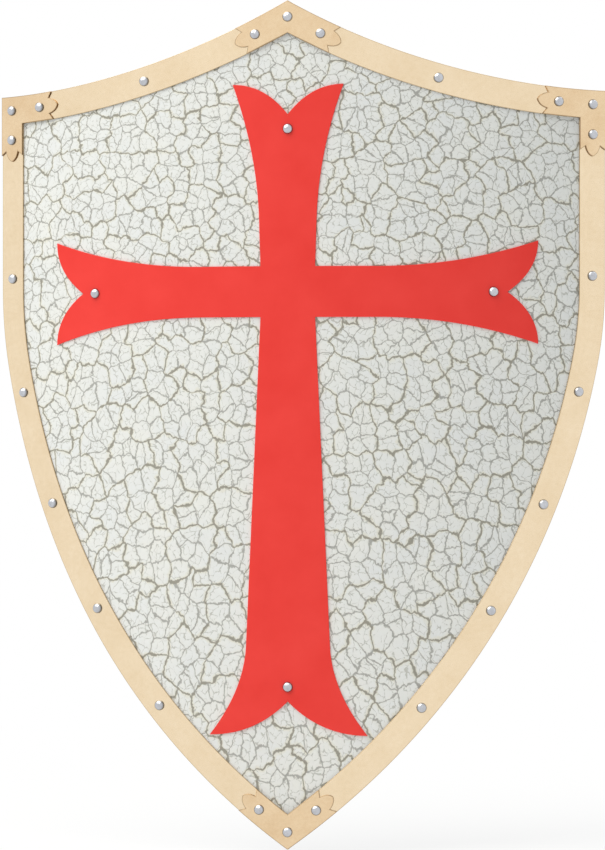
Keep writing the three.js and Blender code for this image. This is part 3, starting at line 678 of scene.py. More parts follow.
def repeat_tree() -> bpy.types.NodeTree:
    """Build the tree that sets a unit on each point, turned to the point's own direction.

    The head of the unit moves out by the point's own seat.

    Returns:
        The tree, with named inputs for sizes, their spread, a seed and the finish.
    """
    tree = bpy.data.node_groups.new("set_units", "GeometryNodeTree")
    face = tree.interface
    for label, kind in (
        ("Geometry", "Geometry"),
        ("Unit", "Object"),
        ("Width", "Float"),
        ("Height", "Float"),
        ("Spread", "Float"),
        ("Seed", "Int"),
        ("Finish", "Material"),
    ):
        face.new_socket(label, in_out="INPUT", socket_type="NodeSocket" + kind)
    face.new_socket("Geometry", in_out="OUTPUT", socket_type="NodeSocketGeometry")
    graph = Graph(tree)
    given = tree.nodes.new("NodeGroupInput")
    get = {socket.name: socket for socket in given.outputs if socket.name}
    shape = graph.add("GeometryNodeObjectInfo", {"Object": get["Unit"]}, out="Geometry")
    read = {
        key: graph.add("GeometryNodeInputNamedAttribute", {"Name": key}, data_type=kind)
        for key, kind in NAMED_VALUES.items()
    }
    up = graph.add(
        "FunctionNodeAxesToRotation",
        {0: read["outward"], 1: read["heading"]},
        primary_axis="Z",
        secondary_axis="X",
    )
    low, high = (
        graph.add("Math", {0: 1.0, 1: get["Spread"]}, operation=way) for way in ("SUBTRACT", "ADD")
    )
    vary = graph.add(
        "FunctionNodeRandomValue", {2: low, 3: high, "Seed": get["Seed"]}, out=1, data_type="FLOAT"
    )
    wide, tall = (
        graph.add("Math", {0: get[label], 1: vary}, operation="MULTIPLY")
        for label in ("Width", "Height")
    )
    size = graph.add("CombineXYZ", {0: wide, 1: wide, 2: tall})
    result = graph.add(
        "GeometryNodeInstanceOnPoints",
        {"Points": get["Geometry"], "Instance": shape, "Rotation": up, "Scale": size},
    )
    result = graph.add("GeometryNodeRealizeInstances", {0: result})
    rise = graph.add("Math", {0: read["seat"], 1: read["head"]}, operation="MULTIPLY")
    shift = graph.add("VectorMath", {0: read["outward"], "Scale": rise}, operation="SCALE")
    result = graph.add("GeometryNodeSetPosition", {"Geometry": result, "Offset": shift})
    result = graph.add("GeometryNodeSetMaterial", {0: result, "Material": get["Finish"]})
    graph.add("NodeGroupOutput", {0: result})
    return tree


def instanced(
    name: str,
    unit: Piece,
    points: Rows,
    values: dict[str, Rows],
    finish: bpy.types.Material,
    seed: int,
    spread: float = 0.0,
) -> Piece:
    """Set a unit on points with Geometry Nodes, and keep the result as a plain mesh.

    Args:
        name: Name of the piece.
        unit: Object that the tree repeats, which is dropped afterwards.
        points: Places in millimetres.
        values: Named values of the points, which the tree reads.
        finish: Material of the piece.
        seed: Seed of the units' sizes.
        spread: Share by which their sizes vary.

    Returns:
        The piece, with its modifier gone.
    """
    seed_mesh = bpy.data.meshes.new(name + "_places")
    seed_mesh.from_pydata((points * METRE).tolist(), [], [])
    for key, rows in values.items():
        kept = seed_mesh.attributes.new(key, NAMED_VALUES[key], "POINT")
        part = "vector" if rows.ndim == 2 else "value"
        kept.data.foreach_set(part, rows.astype(np.float32).ravel())
    carrier = linked(seed_mesh.name, seed_mesh)
    modifier = carrier.modifiers.new("repeat", "NODES")
    tree = bpy.data.node_groups.get("set_units") or repeat_tree()
    modifier.node_group = tree
    known = {s.name: s.identifier for s in tree.interface.items_tree if s.in_out == "INPUT"}
    inputs = {
        "Unit": unit, "Width": 1.0, "Height": 1.0, "Spread": spread, "Seed": seed, "Finish": finish
    }
    for key, value in inputs.items():
        modifier[known[key]] = value
    evaluated = carrier.evaluated_get(bpy.context.evaluated_depsgraph_get())
    mesh = bpy.data.meshes.new_from_object(evaluated)
    mesh.name = name
    bpy.data.objects.remove(carrier)
    bpy.data.objects.remove(unit)
    return linked(name, mesh)


@dataclass(frozen=True)
class Finish:
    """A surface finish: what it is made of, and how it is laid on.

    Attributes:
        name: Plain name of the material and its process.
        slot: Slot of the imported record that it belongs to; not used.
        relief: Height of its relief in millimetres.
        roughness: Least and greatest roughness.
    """

    name: str
    slot: str
    relief: float = 0.1
    roughness: tuple[float, float] = (0.5, 0.5)

    def material(self) -> bpy.types.Material:
        """Return the finish's material, made at its first use."""
        found = bpy.data.materials.get(self.name)
        if found is not None:
            return found
        made = bpy.data.materials.new(self.name)
        made.use_nodes = True
        made.node_tree.nodes.clear()
        graph = Graph(made.node_tree)
        graph.add("OutputMaterial", {"Surface": self.shade(graph)})
        return made

    def shade(self, graph: Graph) -> Socket:
        """Add the finish's nodes and return its shader."""
        raise NotImplementedError

    def surface(
        self,
        graph: Graph,
        body: Socket,
        height: Socket,
        strength: float,
        rough: Socket,
        others: dict[str, float] | None = None,
    ) -> Socket:
        """Return the shader of a colour, with the finish's own relief and roughness.

        Args:
            graph: Tree to fill.
            body: Colour.
            height: Pattern of the relief.
            strength: Strength of the relief.
            rough: Pattern of the roughness.
            others: Values of the shader's other sockets.
        """
        relief = graph.add(
            "Bump", {"Height": height, "Strength": strength, "Distance": self.relief * METRE}
        )
        low, high = self.roughness
        rough = graph.add("MapRange", {"Value": rough, "To Min": low, "To Max": high})
        inputs = {"Base Color": body, "Roughness": rough, "Normal": relief, **(others or {})}
        return graph.add("BsdfPrincipled", inputs)

    def dress(self, piece: Piece) -> None:
        """Give the whole piece this finish."""
        piece.data.materials.clear()
        piece.data.materials.append(self.material())


def place_mm(graph: Graph, uv: str | None) -> Socket:
    """Return the surface place in millimetres, from a UV map or from the object's own space."""
    if uv is None:
        source = graph.add("TexCoord", out="Object")
    else:
        source = graph.add("UVMap", uv_map=uv)
    return graph.add("VectorMath", {0: source, "Scale": 1 / METRE}, operation="SCALE")


@dataclass(frozen=True)
class CrackledPaint(Finish):
    """Oil paint over primer, laid thick and dried until it cracked into flakes.

    Kinked cracks part the flakes. Where the coat pulled hardest they open wide and show an
    olive grey ground with a yellowed edge. Elsewhere they stay a paler grey, and short hairlines
    run in from them. The flakes grow larger towards the tip.

    Sizes are in millimetres. Least width, added width and yellowing each have a value for the
    cracks within a group of flakes, then one for the wide cracks round it.

    Attributes:
        group: Distance between the widest cracks.
        flake: Distance between the cracks that part the flakes.
        growth: Fineness of the pattern at the hanger, and what it gains with each millimetre up.
        bends: Size, reach and detail of each wander that kinks the cracks.
        added_width: How much wider a crack is where the coat pulled hardest.
        yellowing: Strength of the stain beside a crack.
        hairline_width: Least and greatest width of a hairline, which is lost below 0.
        fades: Distance over which a crack, a hairline and the stain fade out.
        hairline_depth: Depth of a hairline as a share of a crack's.
        tooth: Height of the clouds as a share of a crack's depth.
    """

    name: str = "crackled_oil_paint"
    slot: str = "crackled_paint"
    group: float = 34.0
    flake: float = 12.6
    hairline: float = 5.2
    growth: tuple[float, float] = (1.13, 0.00038)
    bends: tuple[tuple[float, float, float], ...] = (
        (28.0, 13.0, 2.0), (6.0, 6.0, 3.0), (2.3, 1.7, 2.0)
    )
    least_width: tuple[float, float] = (0.12, 0.45)
    added_width: tuple[float, float] = (0.78, 0.85)
    yellowing: tuple[float, float] = (0.12, 0.62)
    pull_patch: float = 17.0
    hairline_patch: float = 6.0
    hairline_width: tuple[float, float] = (-0.75, 0.75)
    fades: tuple[float, float, float] = (0.5, 0.3, 2.2)
    stain_width: float = 0.8
    cool_patch: float = 46.0
    cloud_patch: float = 4.0
    clouding: float = 0.4
    hairline_strength: float = 0.8
    crack_strength: float = 0.92
    hairline_depth: float = 0.3
    tooth: float = 0.12
    relief: float = 0.16
    roughness: tuple[float, float] = (0.46, 0.85)
    paint: str = "#f4f5f0"
    cool_paint: str = "#eef1f1"
    cloud_tint: str = "#eaebe6"
    ground: str = "#99968a"
    lesser_ground: str = "#ababa6"
    hairline_tint: str = "#bfc0b8"
    stain: str = "#e6e2cd"

    def shade(self, graph: Graph) -> Socket:
        """Add the finish's nodes and return its shader."""
        flat = place_mm(graph, "blank")
        crisp = self._grown(graph, flat)
        for bend in self.bends:
            crisp = self._bent(graph, crisp, *bend)
        wide = self._parted(graph, crisp)
        least, added, yellowing = (
            graph.add("MapRange", {"Value": wide, "To Min": low, "To Max": high})
            for low, high in (self.least_width, self.added_width, self.yellowing)
        )
        cloud, cool, pull, fine_width = (
            self._patches(graph, flat, size, span)
            for size, span in (
                (self.cloud_patch, (0.0, 1.0)),
                (self.cool_patch, (0.0, 1.0)),
                (self.pull_patch, (0.0, 1.0)),
                (self.hairline_patch, self.hairline_width),
            )
        )
        width = graph.add("Math", {0: pull, 1: added, 2: least}, operation="MULTIPLY_ADD")
        flakes, fine, near = (
            self._cracks(graph, crisp, size, opened, fade)
            for size, opened, fade in zip(
                (self.flake, self.hairline, self.flake),
                (width, fine_width, self.stain_width),
                self.fades,
            )
        )
        ground = graph.layered(self.lesser_ground, (wide, 1.0, self.ground))
        body = graph.layered(
            self.paint,
            (cool, 1.0, self.cool_paint),
            (cloud, self.clouding, self.cloud_tint),
            (near, yellowing, self.stain),
            (fine, self.hairline_strength, self.hairline_tint),
            (flakes, self.crack_strength, ground),
        )
        shallow, tooth = (
            graph.add("Math", {0: pattern, 1: share}, operation="MULTIPLY")
            for pattern, share in ((fine, self.hairline_depth), (cloud, self.tooth))
        )
        depth = graph.add("Math", {0: flakes, 1: shallow}, operation="MAXIMUM")
        rise = graph.add("Math", {0: tooth, 1: depth}, operation="SUBTRACT")
        return self.surface(graph, body, rise, 0.55, depth, {"Specular IOR Level": 0.4})

    def _parted(self, graph: Graph, place: Socket) -> Socket:
        """Return 1 where the flakes on the two sides of a crack belong to different groups."""
        groups = []
        for feature in ("F1", "F2"):
            held = place
            for kind, pitch, found in (
                (feature, self.flake, "Position"), ("F1", self.group, "Color")
            ):
                held = graph.add(
                    "TexVoronoi",
                    {"Vector": held, "Scale": 1 / pitch},
                    feature=kind,
                    voronoi_dimensions="2D",
                    out=found,
                )
            groups.append(held)
        apart = graph.add(
            "VectorMath", {0: groups[0], 1: groups[1]}, out="Value", operation="DISTANCE"
        )
        return graph.add("Math", {0: apart, 1: 0.001}, operation="GREATER_THAN")

    def _grown(self, graph: Graph, place: Socket) -> Socket:
        """Draw a place closer together with height, so that a pattern on it is finer at the top."""
        height = graph.add("SeparateXYZ", {0: place}, out="Y")
        start, gain = self.growth
        scale = graph.add("Math", {0: height, 1: gain, 2: start}, operation="MULTIPLY_ADD")
        return graph.add("VectorMath", {0: place, "Scale": scale}, operation="SCALE")

    @staticmethod
    def _patches(graph: Graph, place: Socket, size: float, span: tuple[float, float]) -> Socket:
        """Return soft patches of one size.

        Args:
            graph: Tree to fill.
            place: Place in millimetres.
            size: Usual size of a patch.
            span: Values between the patches and within them.
        """
        noise = graph.add(
            "TexNoise", {"Vector": place, "Scale": 1 / size, "Detail": 3.0, "Roughness": 0.6}
        )
        low, high = span
        return graph.add(
            "MapRange",
            {"Value": noise, "From Min": 0.3, "From Max": 0.7, "To Min": low, "To Max": high},
        )

    @staticmethod
    def _bent(graph: Graph, place: Socket, size: float, reach: float, detail: float) -> Socket:
        """Shift a place by a noise, so that straight lines wander.

        Args:
            graph: Tree to fill.
            place: Place in millimetres.
            size: Usual length of a wander.
            reach: Full width of the shift.
            detail: Finer wanders on it, as the noise node counts them.
        """
        noise = graph.add(
            "TexNoise", {"Vector": place, "Scale": 1 / size, "Detail": detail}, out="Color"
        )
        shift = graph.add("VectorMath", {0: noise, 1: (0.5, 0.5, 0.5)}, operation="SUBTRACT")
        shift = graph.add("VectorMath", {0: shift, "Scale": reach}, operation="SCALE")
        return graph.add("VectorMath", {0: place, 1: shift}, operation="ADD")

    @staticmethod
    def _cracks(
        graph: Graph, place: Socket, size: float, width: Socket | float, fade: float
    ) -> Socket:
        """Return 1 along the borders of irregular cells and 0 within them.

        Args:
            graph: Tree to fill.
            place: Place in millimetres.
            size: Usual size of a cell.
            width: Width of a crack.
            fade: Distance over which a crack fades out.
        """
        border = graph.add(
            "TexVoronoi",
            {"Vector": place, "Scale": 1 / size},
            feature="DISTANCE_TO_EDGE",
            voronoi_dimensions="2D",
            out="Distance",
        )
        away = graph.add("Math", {0: border, 1: size}, operation="MULTIPLY")
        half = graph.add("Math", {0: width, 1: 0.5}, operation="MULTIPLY")
        past = graph.add("Math", {0: away, 1: half}, operation="SUBTRACT")
        return graph.add(
            "MapRange",
            {"Value": past, "From Max": fade, "To Min": 1.0, "To Max": 0.0},
            interpolation_type="SMOOTHSTEP",
        )


@dataclass(frozen=True)
class Enamel(Finish):
    """Air-dried enamel brushed on a cut steel sheet: even colour, satin gloss, faint brush drag.

    Attributes:
        deep: Colour where the coat is thicker.
        drag: Width and length of the brush's drag marks, in millimetres.
    """

    name: str = "brushed_red_enamel"
    slot: str = "red_enamel"
    body: str = "#fb4841"
    deep: str = "#f54039"
    drag: tuple[float, float] = (0.9, 42.0)
    patch: float = 38.0
    speck: float = 1.1
    relief: float = 0.03
    roughness: tuple[float, float] = (0.32, 0.48)

    def shade(self, graph: Graph) -> Socket:
        """Add the finish's nodes and return its shader."""
        flat = place_mm(graph, "blank")
        scale = (1 / self.drag[0], 1 / self.drag[1], 1.0)
        drag = graph.add("Mapping", {"Vector": flat, "Scale": scale})
        brushed, patch, speck = (
            graph.add("TexNoise", {"Vector": place, "Scale": 1 / size, "Detail": detail})
            for place, size, detail in (
                (drag, 1.0, 3.0), (flat, self.patch, 4.0), (flat, self.speck, 2.0)
            )
        )
        share = graph.add("MapRange", {"Value": patch, "From Min": 0.3, "From Max": 0.7})
        body = graph.layered(self.body, (share, 1.0, self.deep))
        height = graph.add("Math", {0: brushed, 1: speck}, operation="ADD")
        return self.surface(graph, body, height, 0.25, brushed, {"Specular IOR Level": 0.2})


@dataclass(frozen=True)
class Metal(Finish):
    """Bare metal, rubbed along its length and left to dull.

    Attributes:
        dull: Colour where it has tarnished.
        grain: Length and width of the rub marks, in millimetres.
        spot: Strength of the small spots within them.
        spot_size: Size of a spot as a share of a patch.
        streak: Strength of the darker rub marks.
        uv: UV map that the rub marks follow, or None for the object's own space.
        grime_and_shade: Colour of the old polish and tarnish along the edges, and of painted shade
            in the step beside them.
    """

    body: str = "#c9ccd2"
    dull: str = "#8a8784"
    roughness: tuple[float, float] = (0.2, 0.35)
    grain: tuple[float, float] = (24.0, 0.35)
    patch: float = 18.0
    spot: float = 1.0
    spot_size: float = 0.12
    streak: float = 0.0
    tarnish: float = 0.3
    uv: str | None = None
    # Colour and strength of old polish and tarnish, and of painted shade, along edges and round
    # rivet feet
    grime_and_shade: str = "#57524c"
    grime_and_shade_share: float = 0.7
    relief: float = 0.04

    def shade(self, graph: Graph) -> Socket:
        """Add the finish's nodes and return its shader."""
        flat = place_mm(graph, self.uv)
        scale = (1 / self.grain[0], 1 / self.grain[1], 1 / self.grain[1])
        along = graph.add("Mapping", {"Vector": flat, "Scale": scale})
        rub, spots, tarnish = (
            graph.add(
                "TexNoise",
                {"Vector": place, "Scale": 1 / size, "Detail": detail, "Roughness": rough},
            )
            for place, size, detail, rough in (
                (along, 1.0, 4.0, 0.5),
                (flat, self.patch * self.spot_size, 2.0, 0.5),
                (flat, self.patch, 5.0, 0.62),
            )
        )
        for marks, strength in ((spots, self.spot), (rub, self.streak)):
            tarnish = graph.add(
                "Math", {0: marks, 1: strength, 2: tarnish}, operation="MULTIPLY_ADD"
            )
        middle = 0.5 * (1 + self.spot + self.streak)
        share = graph.add(
            "MapRange",
            {
                "Value": tarnish,
                "From Min": middle - 0.18 - 0.05 * self.spot,
                "From Max": middle + 0.2 + 0.08 * self.spot,
                "To Max": self.tarnish,
            },
        )
        # The edge attribute lays old polish and tarnish, and painted shade, along sheet edges and
        # round rivet feet
        edge = graph.add("Attribute", attribute_name="edge", out="Fac")
        body = graph.layered(self.body, (share, 1.0, self.dull), (edge, self.grime_and_shade_share, self.grime_and_shade))
        return self.surface(graph, body, rub, 0.2, rub, {"Metallic": 1.0})


@dataclass(frozen=True)
class Leather(Finish):
    """Vegetable-tanned harness leather, dyed brown and waxed: fine grain and paler worn patches.

    Attributes:
        pore: Distance between pores, in millimetres.
    """

    name: str = "waxed_harness_leather"
    slot: str = "strap_leather"
    body: str = "#5b3a24"
    worn: str = "#80583a"
    crease: str = "#3a2315"
    pore: float = 0.9
    wrinkle: float = 3.4
    patch: float = 26.0
    relief: float = 0.12
    roughness: tuple[float, float] = (0.42, 0.66)

    def shade(self, graph: Graph) -> Socket:
        """Add the finish's nodes and return its shader."""
        flat = place_mm(graph, None)
        pores = graph.add(
            "TexVoronoi",
            {"Vector": flat, "Scale": 1 / self.pore},
            feature="DISTANCE_TO_EDGE",
            out="Distance",
        )
        cell = graph.add("MapRange", {"Value": pores, "From Max": 0.32})
        wrinkle, cloud = (
            graph.add(
                "TexNoise",
                {"Vector": flat, "Scale": 1 / size, "Detail": detail, "Roughness": rough},
            )
            for size, detail, rough in ((self.wrinkle, 5.0, 0.66), (self.patch, 4.0, 0.5))
        )
        share = graph.add("MapRange", {"Value": cloud, "From Min": 0.42, "From Max": 0.7})
        deep = graph.add("MapRange", {"Value": cell, "To Min": 0.7, "To Max": 0.0})
        body = graph.layered(self.body, (share, wrinkle, self.worn), (deep, 1.0, self.crease))
        height = graph.add("Math", {0: cell, 1: wrinkle}, operation="ADD")
        return self.surface(graph, body, height, 0.5, wrinkle)


@dataclass(frozen=True)
class Thread(Finish):
    """Waxed linen thread: off-white, laid in two strands whose twist shows as slanting lines.

    Attributes:
        twist: Waves of the twist's pattern over a millimetre, by the wave node's own measure.
    """

    name: str = "waxed_linen_thread"
    slot: str = "strap_leather"
    body: str = "#cdbf9f"
    shadow: str = "#8d7d5c"
    twist: float = 0.5

    def shade(self, graph: Graph) -> Socket:
        """Add the finish's nodes and return its shader."""
        flat = place_mm(graph, None)
        twist = graph.add(
            "TexWave", {"Vector": flat, "Scale": self.twist, "Distortion": 1.5}, out="Color"
        )
        body = graph.layered(self.shadow, (twist, 1.0, self.body))
        relief = graph.add(
            "Bump", {"Height": twist, "Strength": 0.4, "Distance": self.relief * METRE}
        )
        return graph.add("BsdfPrincipled", {"Base Color": body, "Roughness": 0.6, "Normal": relief})


PAINT = CrackledPaint()
RED = Enamel()
PALE_BRASS = Metal(
    name="rubbed_pale_brass",
    slot="pale_brass",
    body="#f2debe",
    dull="#dcc094",
    roughness=(0.18, 0.28),
    grain=(60.0, 0.5),
    patch=34.0,
    spot=0.45,
    tarnish=0.35,
    uv="run",
    # Edge colour: old polish and tarnish, and painted shade in the step beside the edge
    grime_and_shade="#86663a",
    relief=0.02,
)
WARM_BRASS = Metal(
    name="rubbed_warm_brass",
    slot="warm_brass",
    body="#edd4af",
    dull="#cfa777",
    roughness=(0.18, 0.28),
    grain=(40.0, 0.5),
    patch=22.0,
    spot=0.45,
    tarnish=0.35,
    uv="blank",
    # Edge colour: old polish and tarnish, and painted shade in the step beside the edge
    grime_and_shade="#74542c",
    grime_and_shade_share=0.85,
    relief=0.02,
)
BRIGHT_STEEL = Metal(name="polished_steel", slot="bright_steel", roughness=(0.16, 0.28))
FITTING_STEEL = Metal(
    name="oiled_forged_steel",
    slot="fitting_steel",
    body="#8d9094",
    dull="#5d5853",
    roughness=(0.34, 0.55),
    grain=(6.0, 1.2),
    patch=7.0,
    tarnish=0.75,
)
ROLLED_STEEL = Metal(
    name="wire_brushed_sheet_steel",
    slot="crackled_paint",
    body="#b4b6b8",
    dull="#7b7770",
    roughness=(0.3, 0.5),
    grain=(120.0, 0.9),
    patch=70.0,
    spot=0.15,
    streak=0.45,
    tarnish=0.6,
    uv="blank",
)
LEATHER = Leather()
THREAD = Thread()


def wound(loop: Rows) -> Rows:
    """Return a closed loop counter-clockwise."""
    end = np.roll(loop, -1, axis=0)
    area = np.sum(loop[:, 0] * end[:, 1] - end[:, 0] * loop[:, 1])
    return loop if area > 0 else loop[::-1]


def flipped(loop: Rows) -> Rows:
    """Return a loop on the other side of the middle line."""
    return wound(loop * (-1, 1))


def both_halves(half: Rows) -> Rows:
    """Return the whole outline of its right half, which starts and ends on the middle line."""
    return wound(np.vstack((half, (half * (-1, 1))[::-1][1:-1])))


def bezier(*corners: Sequence[float], steps: int) -> Rows:
    """Return points of a Bezier curve of any degree."""
    share = np.linspace(0, 1, steps + 1)[:, None]
    degree = len(corners) - 1
    return sum(
        math.comb(degree, i) * share**i * (1 - share) ** (degree - i) * np.array(c, float)
        for i, c in enumerate(corners)
    )


def along_rim(places: Rows) -> Rows:
    """Turn places on the blank into the run down a side strip and the distance in from it."""
    centre, radius = BLANK.lower
    x, y = np.abs(places[:, 0]), places[:, 1]
    start = BLANK.corner - BLANK.straight
    upper = np.column_stack((BLANK.corner - y, BLANK.half - x))
    turn = np.arctan2(centre[1] - y, x - centre[0])
    away = np.hypot(x - centre[0], y - centre[1])
    lower = np.column_stack((BLANK.straight + (turn - BLANK.shoulder_turn) * radius, radius - away))
    return np.where((y > start)[:, None], upper, lower)


def along_top(places: Rows) -> Rows:
    """Turn places on the blank into the run along a top strip and the distance in from it."""
    centre = BLANK.scoop_centre
    x, y = np.abs(places[:, 0]), places[:, 1]
    turn = np.arctan2(y - centre[1], x - centre[0])
    away = np.hypot(x - centre[0], y - centre[1])
    return np.column_stack((turn * BLANK.scoop_radius, away - BLANK.scoop_radius))


@dataclass(frozen=True)
class CrossArm:
    """One arm of the cross, from the crossing out to its forked end.

    Attributes:
        turn: Quarter turns from upright.
        reach: Distance from the crossing to the tips of the fork.
        root: Distance at which the arm leaves the crossing.
        root_half: Half width there.
        neck_half: Half width where the flare starts.
        end_half: Half width at the tips.
        flare: Length of the flare.
        fork: Depth of the notch.
        fullness: Share of the half width over which each point of the fork stays full.
    """

    turn: int
    reach: float
    root: float
    root_half: float
    neck_half: float
    end_half: float
    flare: float
    fork: float
    fullness: float = 0.42

    def outline(self) -> Rows:
        """Return the arm's edge, from its right root round to its left root, about the crossing."""
        neck = self.reach - self.flare
        taper = (self.neck_half - self.root_half) / (neck - self.root) * self.flare
        share = np.linspace(0, 1, 25)
        spread = (self.end_half - self.neck_half - taper) * share**2
        flare = np.column_stack(
            (self.neck_half + taper * share + spread, neck + self.flare * share)
        )
        notch = bezier(
            (self.end_half, self.reach),
            (self.end_half * self.fullness, self.reach),
            (0.0, self.reach - self.fork),
            steps=14,
        )
        half = np.vstack(([(self.root_half, self.root)], flare, notch[1:]))
        return self.turned(np.vstack((half, (half * (-1, 1))[::-1][1:-1])))

    def turned(self, points: Rows) -> Rows:
        """Turn points of an upright arm to this arm's side."""
        angle = self.turn * math.pi / 2
        cos, sin = round(math.cos(angle)), round(math.sin(angle))
        return points @ np.array(((cos, sin), (-sin, cos)))


@dataclass
class ShieldFace:
    """Panel, rim, corner plates, cross and the rivets that hold them.

    Attributes:
        sheet_thickness: Thickness of the strips, the plates and the cross.
        gap: Gap between pieces that lie on each other.
        mitre_gap: Gap between two strips that meet.
        peak_arm: Length of the peak plate's arms; the other plates' follow.
        rivet_setback: Distance of a plate's outer rivets from its cusps.
        cross_setback: Distance of the cross's rivets from its notches.
        side_shares: First and last side rivet, as shares of the way between the plates' rivets.
        blows: Marks of the hammer in a head.
        blow_reach: Nearest and farthest of them from its middle.
        grime_and_shade_from: Distance from a head's middle at which old polish and painted shade
            start.
        arms: The cross's four arms, counter-clockwise from the head.
    """

    panel_thickness: float = 1.5
    sheet_thickness: float = 1.0
    gap: float = 0.3
    strip_width: float = 23.5
    mitre_gap: float = 0.5
    cross_height: float = -175.0
    head_radius: float = 4.2
    head_height: float = 2.9
    shank_radius: float = 2.0
    hole_radius: float = 2.35
    tail_radius: float = 3.3
    tail_height: float = 1.4
    peak_arm: float = 49.5
    corner_top_arm: float = 54.5
    corner_side_arm: float = 49.5
    tip_arm: float = 52.0
    rivet_setback: float = 13.0
    cross_setback: float = 12.0
    side_rivets: int = 5
    side_shares: tuple[float, float] = (0.183, 0.808)
    blows: int = 9
    blow_reach: tuple[float, float] = (0.4, 3.2)
    blow_depth: float = 0.09
    blow_radius: float = 0.9
    grime_and_shade_from: float = 3.1
    arms: tuple[CrossArm, ...] = (
        CrossArm(0, 171.0, 21.0, 22.8, 24.0, 46.3, 111.0, 24.8),
        CrossArm(1, 209.0, 22.8, 21.0, 21.0, 42.8, 134.0, 26.5),
        CrossArm(2, 366.0, 21.0, 22.8, 35.0, 66.0, 74.0, 28.0),
        CrossArm(3, 209.0, 22.8, 21.0, 21.0, 42.8, 134.0, 26.5),
    )

    def __post_init__(self) -> None:
        """Work out the layers, and the place of each rivet."""
        self.strip_front = self.gap + self.sheet_thickness
        self.plate_rear = self.strip_front + self.gap
        self.plate_front = self.plate_rear + self.sheet_thickness
        self.rivets = list(self._rivet_places())

    def _rivet_places(self) -> Iterable[tuple[float, float, float, str]]:
        """Yield the place, the head's seat and the CAD node of each front rivet."""
        plate, strip = self.plate_front + self.gap, self.strip_front + self.gap
        mid = self.strip_width / 2
        top, side = BLANK.length(Rim.TOP), BLANK.length(Rim.SIDE)
        back = self.rivet_setback
        yield 0.0, BLANK.top_height(0.0, mid), plate, "peak_rivet"
        yield 0.0, BLANK.tip_height(mid), plate, "tip_rivet"
        corner, near = BLANK.half - mid, top - self.corner_top_arm + back
        start, end = self.corner_side_arm - back, side - self.tip_arm + back
        between = (top + self.peak_arm - self.corner_top_arm) / 2
        pairs = [
            (BLANK.on_rim(Rim.TOP, self.peak_arm - back, mid), plate, "peak_arm_rivet"),
            (BLANK.on_rim(Rim.TOP, near, mid), plate, "corner_top_rivet"),
            ((corner, BLANK.top_height(corner, mid)), plate, "corner_rivet"),
            (BLANK.on_rim(Rim.SIDE, start, mid), plate, "corner_side_rivet"),
            (BLANK.on_rim(Rim.SIDE, end, mid), plate, "tip_arm_rivet"),
            (BLANK.on_rim(Rim.TOP, between, mid), strip, "top_strip_rivet"),
        ]
        for index, share in enumerate(np.linspace(*self.side_shares, self.side_rivets), 1):
            place = BLANK.on_rim(Rim.SIDE, start + (end - start) * share, mid)
            pairs.append((place, strip, f"side_strip_rivet_{index}"))
        for (x, y), seat, label in pairs:
            yield x, y, seat, "right_" + label
            yield -x, y, seat, "left_" + label
        for arm, label in zip(self.arms, ("head", "left", "foot", "right")):
            reach = arm.reach - arm.fork - self.cross_setback
            x, y = arm.turned(np.array([(0.0, reach)]))[0]
            yield x, y + self.cross_height, strip, f"cross_{label}_rivet"

    def _sheet(
        self,
        name: str,
        outline: Rows,
        rear: float,
        finish: Finish,
        node: str,
        run: Callable[[Rows], Rows] | None = None,
    ) -> Piece:
        """Make one sheet with the holes of the rivets that pass through it.

        Args:
            name: Name of the piece.
            outline: Corners of the flat piece.
            rear: Distance of its rear face out from the panel's front.
            finish: Finish of the piece.
            node: CAD node that it stands for.
            run: Turns places on the blank into places along the piece.
        """
        loop = wound(outline)
        centres = np.array([r[:2] for r in self.rivets])
        held = centres[inside(centres, loop)]
        holes = tuple((x, y, self.hole_radius) for x, y in held)
        thickness = self.sheet_thickness if rear > 0 else self.panel_thickness
        sheet = Sheet(loop, rear, thickness, holes).build(name, run)
        settle(sheet, finish, ROOT, node)
        return sheet

    def _plate_arm(self, rim: Rim, from_first: bool, length: float) -> Rows:
        """Return a corner plate's edge along one arm, from its outer side round its lobed end.

        Args:
            rim: Edge of the shield that the arm lies on.
            from_first: Whether the plate is at that edge's first end.
            length: Length of the arm to its cusps.
        """
        total = BLANK.length(rim)

        def at(distance: float, inset: float) -> Rows:
            """Return a point by its distance along the arm and in from the rim."""
            return BLANK.on_rim(rim, distance if from_first else total - distance, inset)

        outer = [at(length * share, 0.0) for share in np.linspace(0, 1, 9)[1:-1]]
        flank = bezier((0.22, -3.5), (0.28, 3.5), (0.5, 5.3), steps=12)
        end = np.vstack(([(0.0, 0.0)], flank))
        ornament = np.vstack((end, (end[:-1][::-1] * (-1, 1)) + (1, 0)))
        return np.array(outer + [at(length + y, x * self.strip_width) for x, y in ornament])

    def build(self) -> None:
        """Make and dress every sheet, then the rivets."""
        half = np.vstack((BLANK.top(0.0, BLANK.half), BLANK.side(0.0)[1:]))
        half[-1, 0] = 0.0
        rear = -self.panel_thickness
        panel = self._sheet("painted_panel", both_halves(half), rear, PAINT, "shield_panel")
        self._bare_back(panel)
        self._strips()
        self._plates()
        cross = np.vstack([arm.outline() for arm in self.arms]) + (0, self.cross_height)
        self._sheet("enamelled_cross", cross, self.gap, RED, "cross_plate")
        self._rivet()

    @staticmethod
    def _bare_back(panel: Piece) -> None:
        """Leave the painted panel's back as brushed steel."""
        panel.data.materials.append(ROLLED_STEEL.material())
        for face in panel.data.polygons:
            x, y, _ = face.center
            outward = Vector((x, y - BOW.axis_y * METRE, 0)).normalized()
            face.material_index = 1 if face.normal.dot(outward) < -0.3 else 0

